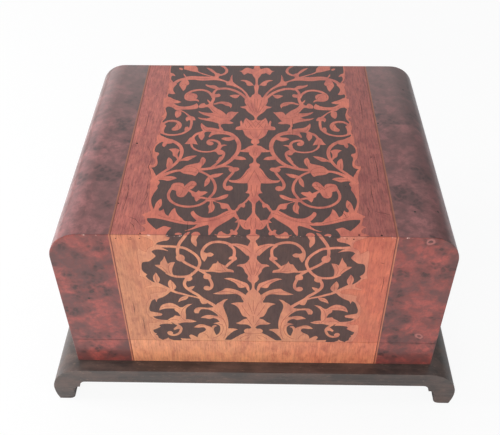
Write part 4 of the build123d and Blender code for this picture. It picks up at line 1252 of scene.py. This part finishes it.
TOP_GROUND = [
    (0, 120), (81.8, 120), (82, 112), (81.6, 105), (81.1, 103.8), (78.9, 102.6), (77.4, 100.6),
    (76.3, 97.8), (79.4, 98.8), (80, 96.6), (79.8, 92.4), (78.2, 89), (76.2, 84.8), (74.6, 85.6),
    (73.6, 84), (75, 80.6), (76.1, 77), (76, 73.6), (73.4, 67.8), (76, 67), (79.3, 68.2), (80, 65.6),
    (79.6, 63), (78, 61.2), (74.6, 58.8), (74.4, 53), (78, 46.6), (79.8, 44.4), (78.9, 40), (77.8, 35.6),
    (77.8, 31), (78.5, 27.6), (80.2, 23.4), (78.4, 20), (76.4, 17.6), (77, 15), (77.3, 12), (77.4, 9.4),
    (76.6, 6.6), (80.4, 6), (79, 3), (76.4, 1.2), (76, -3), (77.6, -6), (80, -8.4), (81.6, -12),
    (82.1, -16), (81.4, -19.6), (78.6, -20.7), (77.8, -22.6), (79, -25.4), (78.9, -28.4), (78.2, -31),
    (77.7, -34.4), (78, -37.2), (79.5, -39.4), (82.4, -40.2), (80.4, -43), (79, -46.2), (77.4, -49.6),
    (77, -53), (75.4, -55.6), (73.2, -58), (73.6, -60.6), (74.6, -63), (74, -65.4), (74.8, -68),
    (76, -71), (76.6, -74), (77.4, -78), (76.8, -82.4), (75.8, -86), (74.8, -88.4), (74, -92),
    (74.5, -98), (77.8, -99.8), (77.4, -102.2), (75.6, -105), (72.6, -108.6), (69.6, -111.8),
    (67.6, -110.2), (64.4, -108), (61.6, -108.9), (59, -109.9), (61, -113), (62, -116), (63, -121),
    (0, -121),
]
TOP_BORDER = [
    (0, 122), (83.6, 122), (82.8, 114), (82.6, 110), (82.6, 105), (82.4, 100), (82, 95), (80.5, 93),
    (79.4, 88), (81.5, 84.5), (80.3, 80), (80.8, 75), (81, 68), (80.8, 62), (79.8, 58), (79.2, 52),
    (80.4, 46), (80.6, 42), (79.6, 37), (82.5, 31), (80, 29.6), (80.2, 27), (80.9, 24), (81.5, 20),
    (81.6, 15), (80.5, 10), (81, 5), (79.8, 0), (79.4, -4), (81, -7), (83, -11), (83.4, -15), (83.3, -19),
    (83, -23), (82, -27), (80.2, -30), (79.6, -34), (81, -36.4), (84, -36.6), (83.8, -40), (82, -45),
    (80.8, -50), (80.3, -55), (80.2, -62), (79.8, -68), (79.3, -74), (79, -80), (77.8, -86), (76.2, -91),
    (75.2, -94.5), (78.5, -96.2), (79.9, -98.5), (79, -102), (78, -105.6), (81.4, -107.4), (77.8, -110.6),
    (77.6, -113.4), (83, -116), (78, -118), (76, -122), (0, -122),
]
TOP_LINES = [
    [(1.4, 60), (1, 50), (0.4, 39)], [(4.8, 58), (3.6, 49), (1.2, 38)],
    [(7.6, 52), (5.8, 46), (2.6, 38.4)], [(0, 12.2), (7, 12.4), (14, 13.6)],
    [(0, 25), (3, 20.4), (6.2, 15)], [(4.8, 26), (2, 20.6), (0, 15.8)],
    [(8.2, 27), (5, 20.6), (2.4, 15.2)], [(9, 21), (7.6, 15.4)], [(4.8, 10), (3.6, 5), (1.2, 0.6)],
    [(1.5, -11.6), (1.6, -18), (0.7, -24)], [(0, -12), (0, -20)], [(0, -43), (2.4, -50), (5, -58)],
    [(5.2, -43.6), (8, -50), (13, -55.8)], [(2.2, -61), (1.8, -68), (0.7, -75)],
    [(1.4, -98.6), (1.9, -104), (1.1, -110)], [(5.2, -103), (6.6, -106), (5.6, -109)],
    [(38, 34), (33, 31.4), (27.6, 29.4), (22.6, 31)], [(46, 36.8), (40, 35.2), (35, 36)],
    [(46, 29.4), (40, 28), (35, 26.6)], [(40, 46), (36, 39), (33, 36)], [(18.2, 36.4), (19, 36)],
    [(24, 51), (29, 53.2), (35, 52)], [(42, 93.6), (52, 94), (62, 94.6)],
    [(13, 70.6), (18, 77), (24.6, 81.8)], [(23.6, 98), (24.4, 92.6), (26, 89)],
    [(44, -45), (46, -41), (51, -38.6), (56, -39.8)], [(45.4, -46.4), (50, -45), (56, -44.6)],
    [(42.8, -41), (41.6, -34), (42, -29)], [(53.4, -66), (57, -62.6), (61, -62)],
    [(51, -66), (48.6, -61.4), (47.6, -58.8)], [(54.6, -68), (55, -72), (56.4, -74.2)],
    [(14, -93.4), (20, -96), (28, -101), (36, -103), (44, -104)], [(18, -92), (24, -97.4), (32, -101.6)],
    [(60, -98), (63, -99.4), (70, -96)], [(50, -104), (56, -101.8), (62, -100)],
    [(66, 12), (65.8, 17), (69, 21.4), (74, 22.4)], [(54.8, 60), (56.8, 64.6), (60.6, 66)],
    [(40, 11.6), (33, 9.8), (25, 7.6)], [(44.6, 15), (42, 11), (37, 10.2)],
    [(63, 61.6), (63, 66), (60.4, 69)], [(72, 55.6), (76, 57.6), (80, 56.8)],
    [(58, 45), (66, 44.4), (74, 47.6)], [(64, 81.6), (67.4, 84), (69.6, 80)], [(70, -86), (71.4, -82)],
    [(30.6, -90.4), (31.4, -84), (31.6, -80)], [(26, -77.6), (34, -78.2), (42, -77)],
    [(44, -62), (50, -63), (54.4, -66.4)], [(64, -54), (69, -53.2), (74, -54.6)],
    [(68, -40), (68.4, -33.4)], [(50, -27), (56, -28.6), (61, -32)],
]
FRONT_CRACKS = [
    [(97.6, 150), (98.1, 142), (97.8, 131)], [(-90.5, 186), (-88, 185.4), (-86.4, 186.2)],
    [(93.4, 164), (95.2, 163.2), (96.8, 163.8)], [(-94.2, 118), (-93.9, 110), (-94.3, 101)],
    [(-88.4, 98), (-88.1, 92), (-88.5, 84)], [(60.2, 76), (60, 73), (60.3, 71)],
]
FRONT_HOLES = [
    (66.8, 187.9, 0.5), (71.7, 187.6, 0.6), (-87.8, 187, 0.45), (-81.2, 186.4, 0.5), (-98.4, 186.2, 0.5),
    (93, 180.2, 0.3),
]
TOP_CRACKS = [
    [(-88.4, -12), (-86.2, -17), (-84.4, -22.5)],
    [(-84.4, -22.5), (-83.2, -30), (-84.8, -39.6), (-82.2, -45), (-81.8, -49.6)],
    [(-81.8, -49.6), (-82.2, -62), (-80.9, -74.9), (-83, -85.2)],
    [(90, -90), (93, -91.6), (96, -92), (100, -94)], [(84, -85), (85.4, -90), (84.2, -95)],
    [(63.9, -89), (67.2, -94.4), (68, -97)], [(-93.6, 40), (-93.2, 24), (-94, 8)],
    [(92.4, 60), (92.9, 46), (92.2, 30)], [(-92, -98), (-86, -101), (-82, -107)],
    [(-90, -104), (-86.4, -108), (-85, -113)], [(-96.6, -60), (-96, -74), (-96.7, -90)],
    [(96.2, -20), (96.8, -40), (96.1, -56)], [(89.6, -60), (89.2, -70), (90, -81)],
    [(-47.6, -102), (-47.2, -111), (-47.8, -117)], [(31.4, 30), (31.8, 18), (31.1, 4)],
]
TOP_HOLES = [
    (-97.8, -8, 0.9), (-101.4, -83.4, 0.7), (93.6, -24.6, 0.6), (75.5, -115.6, 0.8), (91.5, -115.8, 0.8),
    (-80.7, -116, 0.6), (86.4, 16, 0.4), (-90.2, 64, 0.4), (70.2, -62, 0.4),
]


# ---------------------------------------------------------------- cutting the marquetry

# Height range of each drawing, and half the width of its ground, as drawn
DRAWN_FRONT = (71.4, 189.5)
DRAWN_TOP = (-117.1, 117.1)
DRAWN_HALF = 84.88

# Widths in mm of the light border round a ground, and of what the knife and the graver leave
FRONT_RING = 3.4
TOP_RING = 2.6
GLUE_LINE = 0.4
ENGRAVED_LINE = 0.35
CRACK_TIP = 0.15
CRACK_MIDDLE = 0.4

MERGED = 1e-4  # points of a drawing nearer than this, in mm, are one
WORN_ROWS = (0.12, 0.4, 1.0)  # where a worn arris gets a row of points, as shares of its depth
TONE_SEED = 7

BAND, GROUND_WOOD, SCROLL, LINE, PIT = range(5)


def inside(points, outline):
    """For each point, whether it lies within the outline, by its winding number."""
    ring = np.array(outline)
    low, high = ring.min(0), ring.max(0)
    near = np.all((points >= low) & (points <= high), axis=1)
    found = np.zeros(len(points), bool)
    spots = points[near]
    if not len(spots):
        return found
    start_x, start_y = ring[:, 0], ring[:, 1]
    end_x, end_y = np.roll(start_x, -1), np.roll(start_y, -1)
    px, py = spots[:, :1], spots[:, 1:]
    side = (end_x - start_x) * (py - start_y) - (px - start_x) * (end_y - start_y)
    up = (start_y <= py) & (end_y > py) & (side > 0)
    down = (start_y > py) & (end_y <= py) & (side < 0)
    found[near] = (up.sum(1) - down.sum(1)) != 0
    return found


def mirrored(outlines):
    """The outlines with their mirror images about the axis."""
    return outlines + [[(-x, y) for x, y in outline] for outline in outlines]


def crack(points):
    """A crack's two halves, each of them narrow at its tip."""
    middle = len(points) // 2
    return [
        stem(CRACK_TIP, *points[: middle + 1], end=CRACK_MIDDLE),
        stem(CRACK_MIDDLE, *points[middle:], end=CRACK_TIP),
    ]


def drawing(ground, border, ring, scrolls, column, hairlines, cracks, holes):
    """A panel's outlines in mm with their woods, in order: a later one lies over those before it."""
    edge = line(*ground, sharp=SHARP_TURN)
    outside = line(*border, sharp=SHARP_TURN)
    return [
        (LINE, mirrored([swept(edge, ring + GLUE_LINE), swept(outside, GLUE_LINE)])),
        (SCROLL, mirrored([swept(edge, ring)]) + [closed(outside)]),
        (GROUND_WOOD, [closed(edge)]),
        (SCROLL, mirrored(scrolls) + column),
        (LINE, mirrored([stem(ENGRAVED_LINE, *points) for points in hairlines])),
        (PIT, [half for points in cracks for half in crack(points)]),
        (PIT, [ball(*hole) for hole in holes]),
    ]


def fitted(layers, drawn, real):
    """Layers moved and scaled from the drawn height range to the real one, in mm."""
    across = GROUND[1].x / MM / DRAWN_HALF
    scale = (real[1] - real[0]) / (drawn[1] - drawn[0])
    shift = real[0] - drawn[0] * scale
    return [
        (wood, [[(x * across, y * scale + shift) for x, y in outline] for outline in outlines])
        for wood, outlines in layers
    ]


def cut(panel, layers, rows):
    """Cuts a veneer panel along every outline: (points, triangles, wood of each, shape of each)."""
    points = []
    edges = []
    for ring in [panel] + [outline for _, outlines in layers for outline in outlines]:
        first = len(points)
        points += [Vector(p) for p in ring]
        edges += [(first + k, first + (k + 1) % len(ring)) for k in range(len(ring))]
    low_x = min(x for x, _ in panel)
    high_x = max(x for x, _ in panel)
    for row in rows:
        edges.append((len(points), len(points) + 1))
        points += [Vector((low_x, row)), Vector((high_x, row))]
    spots, _, triangles, *_ = delaunay_2d_cdt(points, edges, [], 0, MERGED, False)
    spots = np.array([tuple(p) for p in spots])
    triangles = np.array(triangles)
    middles = spots[triangles].mean(1)
    kept = inside(middles, panel)
    triangles = triangles[kept]
    middles = middles[kept]
    kind = np.full(len(middles), BAND)
    shape = np.zeros(len(middles), int)
    number = 0
    for wood, outlines in layers:
        for outline in outlines:
            number += 1
            within = inside(middles, outline)
            kind[within] = wood
            shape[within] = number
    return spots, triangles, kind, shape


def sheet(name, spots, triangles, shape, place, depth):
    """A closed flush sheet from some of a panel's triangles; place puts a flat point at a depth."""
    used, where = np.unique(triangles, return_inverse=True)
    triangles = where.reshape(triangles.shape)
    count = len(used)
    points = [place(u, v, 0) for u, v in spots[used]] + [place(u, v, depth) for u, v in spots[used]]
    sides = set()
    for a, b, c in triangles:
        sides.update(((a, b), (b, c), (c, a)))
    faces = [tuple(t) for t in triangles] + [(c + count, b + count, a + count) for a, b, c in triangles]
    tones = list(shape) * 2
    for a, b in sorted(sides):
        if (b, a) not in sides:
            faces.append((b, a, a + count, b + count))
            tones.append(0)
    mesh = bpy.data.meshes.new(name)
    mesh.from_pydata(points, [], [tuple(int(i) for i in face) for face in faces])
    draw = random.Random(TONE_SEED)
    values = [draw.random() for _ in range(int(max(tones)) + 1)]
    tone = mesh.attributes.new("tone", "FLOAT", "FACE")
    tone.data.foreach_set("value", [values[int(t)] for t in tones])
    return mesh


def marquetry(side, place, corners, layers, rows, nodes):
    """Cuts the panel between two corners and makes its woods; nodes gives what they stand for."""
    (low_x, low_y), (high_x, high_y) = corners
    panel = [(low_x, low_y), (high_x, low_y), (high_x, high_y), (low_x, high_y)]
    spots, triangles, kind, shape = cut(panel, layers, rows)
    thick = FACE[1].y - FACE[0].y
    part = "top" if side == "top" else "face"
    for wood, word, material, slot in (
        (BAND, "band", f"band_{part}", "satinwood_veneer"),
        (GROUND_WOOD, "ground", "dark_ground", "dark_ground"),
        (SCROLL, "scrollwork", f"scroll_{part}", "satinwood_veneer"),
        (LINE, "lines", "engraving", "dark_string"),
        (PIT, "cracks", "pitch", "dark_ground"),
    ):
        chosen = kind == wood
        name = f"{side}_{word}"
        mesh = sheet(name, spots, triangles[chosen], shape[chosen], place, thick)
        mesh.materials.append(material_for(material))
        piece_of(name, mesh, "lid", nodes.get(word, ()))


def on_face(facing, arris):
    """Places a flat point of the front (facing -1) or back (facing 1), with the upper arris worn round."""
    top = FACE[1].z

    def place(u, v, depth):
        """The flat point in space; within the arris it is never less deep than the wear."""
        short = max(0.0, arris - (top - v * MM))
        worn = arris - math.sqrt(max(0.0, arris**2 - short**2))
        return Vector((-facing * u * MM, facing * (-FACE[0].y - max(worn, depth)), v * MM))

    return place


def on_top(u, v, depth):
    """Places a flat point of the top."""
    return Vector((u * MM, v * MM, TOP_PLATE[1].z - depth))


# ---------------------------------------------------------------- operators


class CASKET_OT_stand(bpy.types.Operator):
    """Finishes the ebonised stand: board, facings and scroll feet with softened edges"""

    bl_idname = "casket.stand"
    bl_label = "Stand"

    def execute(self, context):
        arris = context.scene.casket_sizes.stand_arris
        for node in nodes_of("foot_rail"):
            eased_copy(node, "ebonised_wood", arris, sharp=50)
        eased_copy("stand_board", "ebonised_wood", arris, sharp=60)
        for node in nodes_of("stand_front", "stand_back"):
            eased_copy(node, "ebonised_wood", arris / 2, sharp=60, chosen=on_facing_edge)
        return {"FINISHED"}


OUTSIDE_WOODS = {
    "wrap": "burl_wrap",
    "side_burl": "burl_wrap",
    "burl": "burl_veneer",
    "top_light_strings": "top_string",
    "light_strings": "light_string",
    "dark_strings": "dark_string",
}


class CASKET_OT_veneers(bpy.types.Operator):
    """Finishes the burl, satinwood and strings of the casket's outside"""

    bl_idname = "casket.veneers"
    bl_label = "Veneers"

    def execute(self, context):
        arris = context.scene.casket_sizes.veneer_arris
        for node in nodes_of("lid_", "tray_"):
            wood = next((OUTSIDE_WOODS[word] for word in OUTSIDE_WOODS if word in node), None)
            on_front_or_back = "front" in node or "back" in node
            if wood and (on_front_or_back or node in ("lid_light_strings", "lid_dark_strings")):
                eased_copy(node, wood, arris, sharp=40, chosen=on_outline)
            elif wood:
                dress(node, wood)
        # The tray's bands take the lighter copy of the band: painted light
        for node in ("tray_front_band", "tray_back_band"):
            dress(node, "band_tray_lit")
        return {"FINISHED"}


class CASKET_OT_marquetry(bpy.types.Operator):
    """Cuts the scrollwork into the lid's front, back and top, flush with its ground and bands"""

    bl_idname = "casket.marquetry"
    bl_label = "Marquetry"

    def execute(self, context):
        arris = context.scene.casket_sizes.veneer_arris
        half = FACE[1].x / MM
        top = FACE[1].z / MM
        shapes = drawing(
            FRONT_GROUND, FRONT_BORDER, FRONT_RING,
            FRONT, FRONT_COLUMN, FRONT_LINES, FRONT_CRACKS, FRONT_HOLES,
        )
        layers = fitted(shapes, DRAWN_FRONT, (GROUND[0].z / MM, GROUND[1].z / MM))
        rows = [top - arris / MM * share for share in WORN_ROWS]
        corners = (-half, FACE[0].z / MM), (half, top)
        for side, facing in (("front", -1), ("back", 1)):
            nodes = {"band": [f"lid_{side}_band"], "ground": [f"lid_{side}_ground"]}
            marquetry(side, on_face(facing, arris), corners, layers, rows, nodes)
        shapes = drawing(
            TOP_GROUND, TOP_BORDER, TOP_RING, TOP, TOP_COLUMN, TOP_LINES, TOP_CRACKS, TOP_HOLES
        )
        layers = fitted(shapes, DRAWN_TOP, (-JOINT_Y, JOINT_Y))
        corners = (-half, -JOINT_Y), (half, JOINT_Y)
        nodes = {"band": ["lid_top_band_left", "lid_top_band_right"], "ground": ["lid_top_ground"]}
        marquetry("top", on_top, corners, layers, [], nodes)
        return {"FINISHED"}


class CASKET_OT_carcase(bpy.types.Operator):
    """Finishes the bare wood and the lining inside"""

    bl_idname = "casket.carcase"
    bl_label = "Carcase"

    def execute(self, context):
        for node in sorted(frame["nodes"]):
            if node.endswith(("_board", "_rail", "_shoulder")) and not node.startswith("stand"):
                lies_flat = node in ("lid_top_board", "tray_bottom_board")
                dress(node, "carcase_flat" if lies_flat else "carcase_wood")
        dress("tray_lining", "lining")
        return {"FINISHED"}


class CASKET_OT_hinges(bpy.types.Operator):
    """Finishes the brass hinges: leaves and pins with filed edges"""

    bl_idname = "casket.hinges"
    bl_label = "Hinges"

    def execute(self, context):
        arris = context.scene.casket_sizes.brass_arris
        for node in nodes_of("hinge_left", "hinge_right"):
            eased_copy(node, "brass", arris, sharp=50)
        return {"FINISHED"}


# Radius of the head, radius of the shank and length, in mm, of each kind of screw
HINGE_SCREW = (2.18, 1.2, 9.0)
STAND_SCREW = (3.99, 2.0, 21.0)
DOWEL_RADIUS = 3.0


class CASKET_OT_fixings(bpy.types.Operator):
    """Sets a threaded screw or a fluted dowel wherever the part has one"""

    bl_idname = "casket.fixings"
    bl_label = "Fixings"

    def execute(self, context):
        for node, slot, sizes, head_down in (
            ("hinge_tray_screws", "brass", HINGE_SCREW, False),
            ("hinge_lid_screws", "brass", HINGE_SCREW, True),
            ("stand_screws", "steel_screw", STAND_SCREW, True),
        ):
            low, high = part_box(node)
            face = low.z if head_down else high.z
            tilt = math.pi if head_down else 0.0
            repeated(f"{node}_threaded", node, screw_shape(*sizes), face / MM, tilt, math.tau, slot)
        low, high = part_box("stand_dowels")
        dowel = dowel_shape(DOWEL_RADIUS, (high.z - low.z) / MM)
        middle = (low.z + high.z) / 2 / MM
        repeated("stand_dowels_fluted", "stand_dowels", dowel, middle, 0.0, 0.0, "beech_dowel")
        return {"FINISHED"}


class CASKET_OT_stage(bpy.types.Operator):
    """Sets the floor, lamps, world and camera"""

    bl_idname = "casket.stage"
    bl_label = "Stage"

    def execute(self, context):
        make_floor()
        make_world()
        make_lamps()
        make_camera()
        context.scene.view_settings.view_transform = "Standard"
        return {"FINISHED"}


# ---------------------------------------------------------------- stage

FLOOR_HALF = 6  # half the floor's width, in m
FLOOR_GLOW = 0.92  # how far the floor shows as pure white
ROOM_LIGHT = 0.62  # level of the room, as a share of its window
LAMP_AIM = Vector((0, 0, 0.11))

# Name, place in m, power in W, width and height in m, and whether polish mirrors it
LAMPS = (
    ("key_softbox", (-0.6, -2.05, 0.8), 32.7, 1.1, 1.1, False),
    ("fill_softbox", (1.7, -1.1, 0.9), 10, 1.2, 1.2, True),
    ("top_softbox", (0.1, 0.5, 2.1), 9, 1.4, 1.4, True),
    ("left_softbox", (-1.2, 0.02, 0.5), 15, 0.4, 0.4, False),
    ("left_window", (-1.3, -0.12, 0.33), 5, 0.08, 0.5, False),
)

CAMERA_PLACE = Vector((7.1, -479.5, 537.3))  # mm
CAMERA_TURN = (-1.44, 42.35, -0.47)  # yaw, pitch down and roll, in degrees
CAMERA_LENS = 50.83  # mm, on a sensor 36 mm wide
SENSOR = 36


def make_floor():
    """A wide pale floor that shows near white and keeps the casket's shadow."""
    work = bmesh.new()
    bmesh.ops.create_grid(work, x_segments=2, y_segments=2, size=FLOOR_HALF)
    mesh = bpy.data.meshes.new("floor")
    work.to_mesh(mesh)
    work.free()
    floor = linked("floor", mesh)
    material, tree, place = start("floor_paper_matt")
    paper = add(tree, RAMP, {"Fac": figure(tree, place, 300, detail=2)}, [(0, 0.68), (1, 0.72)])
    body = add(tree, "ShaderNodeBsdfDiffuse", {"Color": paper})
    glow = add(tree, "ShaderNodeEmission", {"Color": grey(1), "Strength": 1.0})
    seen = add(tree, "ShaderNodeLightPath").outputs["Is Camera Ray"]
    share = add(tree, MATH, {0: seen, 1: FLOOR_GLOW}, operation="MULTIPLY")
    mixed = add(tree, "ShaderNodeMixShader", {0: share, 1: body, 2: glow})
    add(tree, "ShaderNodeOutputMaterial", {"Surface": mixed})
    mesh.materials.append(material)
    floor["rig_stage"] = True


def make_world():
    """White for the eye; for the light, a room with a bright window low behind, dimmer to the right."""
    world = bpy.data.worlds.new("studio")
    bpy.context.scene.world = world
    world.use_nodes = True
    tree = world.node_tree
    tree.nodes.clear()
    aim = add(tree, "ShaderNodeTexCoord").outputs["Generated"]
    parts = add(tree, SPLIT, {"Vector": aim}).outputs
    low = share_of(tree, parts["Z"], [(0.46, 1), (0.76, 0)])
    behind = share_of(tree, parts["Y"], [(0.35, 0), (0.7, 1)])
    window = add(tree, MATH, {0: low, 1: behind}, operation="MULTIPLY")
    rightward = add(tree, MATH, {0: parts["X"], 1: 0.5, 2: 0.5}, operation="MULTIPLY_ADD")
    side = share_of(tree, rightward, [(0.1, 0.68), (0.5, 0.62), (0.9, 0.10)])
    bright = add(tree, MATH, {0: window, 1: ROOM_LIGHT}, operation="ADD")
    level = add(tree, MATH, {0: side, 1: bright}, operation="MULTIPLY")
    soft = add(tree, "ShaderNodeBackground", {"Color": linear("#F7FCFF"), "Strength": level})
    white = add(tree, "ShaderNodeBackground", {"Color": grey(1), "Strength": 1.0})
    seen = add(tree, "ShaderNodeLightPath").outputs["Is Camera Ray"]
    mixed = add(tree, "ShaderNodeMixShader", {0: seen, 1: soft, 2: white})
    add(tree, "ShaderNodeOutputWorld", {"Surface": mixed})


def make_lamps():
    """Soft boxes in front, at the right, above and at the left, and a narrow lamp low at the left."""
    for name, place, power, width, height, mirrored_too in LAMPS:
        lamp = bpy.data.lights.new(name, "AREA")
        lamp.shape = "RECTANGLE"
        lamp.size = width
        lamp.size_y = height
        lamp.energy = power
        holder = linked(name, lamp)
        holder.visible_glossy = mirrored_too
        holder.location = place
        holder.rotation_euler = (LAMP_AIM - Vector(place)).to_track_quat("-Z", "Y").to_euler()


def make_camera():
    """A camera in front of the casket and above it, looking down at the top and the front."""
    data = bpy.data.cameras.new("camera")
    data.sensor_width = SENSOR
    data.lens = CAMERA_LENS
    camera = linked("camera", data)
    yaw, pitch, roll = (math.radians(a) for a in CAMERA_TURN)
    ahead = Vector((math.sin(yaw) * math.cos(pitch), math.cos(yaw) * math.cos(pitch), -math.sin(pitch)))
    level = Vector((math.cos(yaw), -math.sin(yaw), 0))
    upright = level.cross(ahead)
    right = math.cos(roll) * level + math.sin(roll) * upright
    up = -math.sin(roll) * level + math.cos(roll) * upright
    turn = Matrix((right, up, -ahead)).transposed().to_4x4()
    camera.matrix_world = Matrix.Translation(CAMERA_PLACE * MM) @ turn
    bpy.context.scene.camera = camera


# ---------------------------------------------------------------- the add-on

OPERATORS = (
    CASKET_OT_stand,
    CASKET_OT_veneers,
    CASKET_OT_marquetry,
    CASKET_OT_carcase,
    CASKET_OT_hinges,
    CASKET_OT_fixings,
    CASKET_OT_stage,
)


class CASKET_PT_panel(bpy.types.Panel):
    """Lists the casket's settings and the operators that build it"""

    bl_idname = "CASKET_PT_panel"
    bl_label = "Inlaid casket"
    bl_space_type = "VIEW_3D"
    bl_region_type = "UI"
    bl_category = "Casket"

    def draw(self, context):
        for group in (context.scene.casket_sizes, context.scene.casket_colours):
            for name in group.bl_rna.properties.keys():
                if name not in ("rna_type", "name"):
                    self.layout.prop(group, name)
        for operator in OPERATORS:
            self.layout.operator(operator.bl_idname)


CLASSES = (CasketSizes, CasketColours, *OPERATORS, CASKET_PT_panel)


def register():
    """Registers the classes and hangs the settings on the scene."""
    for item in CLASSES:
        bpy.utils.register_class(item)
    bpy.types.Scene.casket_sizes = PointerProperty(type=CasketSizes)
    bpy.types.Scene.casket_colours = PointerProperty(type=CasketColours)


def unregister():
    """Takes the settings and the classes away again."""
    del bpy.types.Scene.casket_colours
    del bpy.types.Scene.casket_sizes
    for item in reversed(CLASSES):
        bpy.utils.unregister_class(item)


def main():
    """Builds every piece in order."""
    register()
    for operator in OPERATORS:
        area, name = operator.bl_idname.split(".")
        getattr(getattr(bpy.ops, area), name)()
    boxes = {"cad": CAD_BOX, "visual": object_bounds()}
    boxes = {name: [list(corner) for corner in box] for name, box in boxes.items()}


if __name__ == "__main__":
    main()
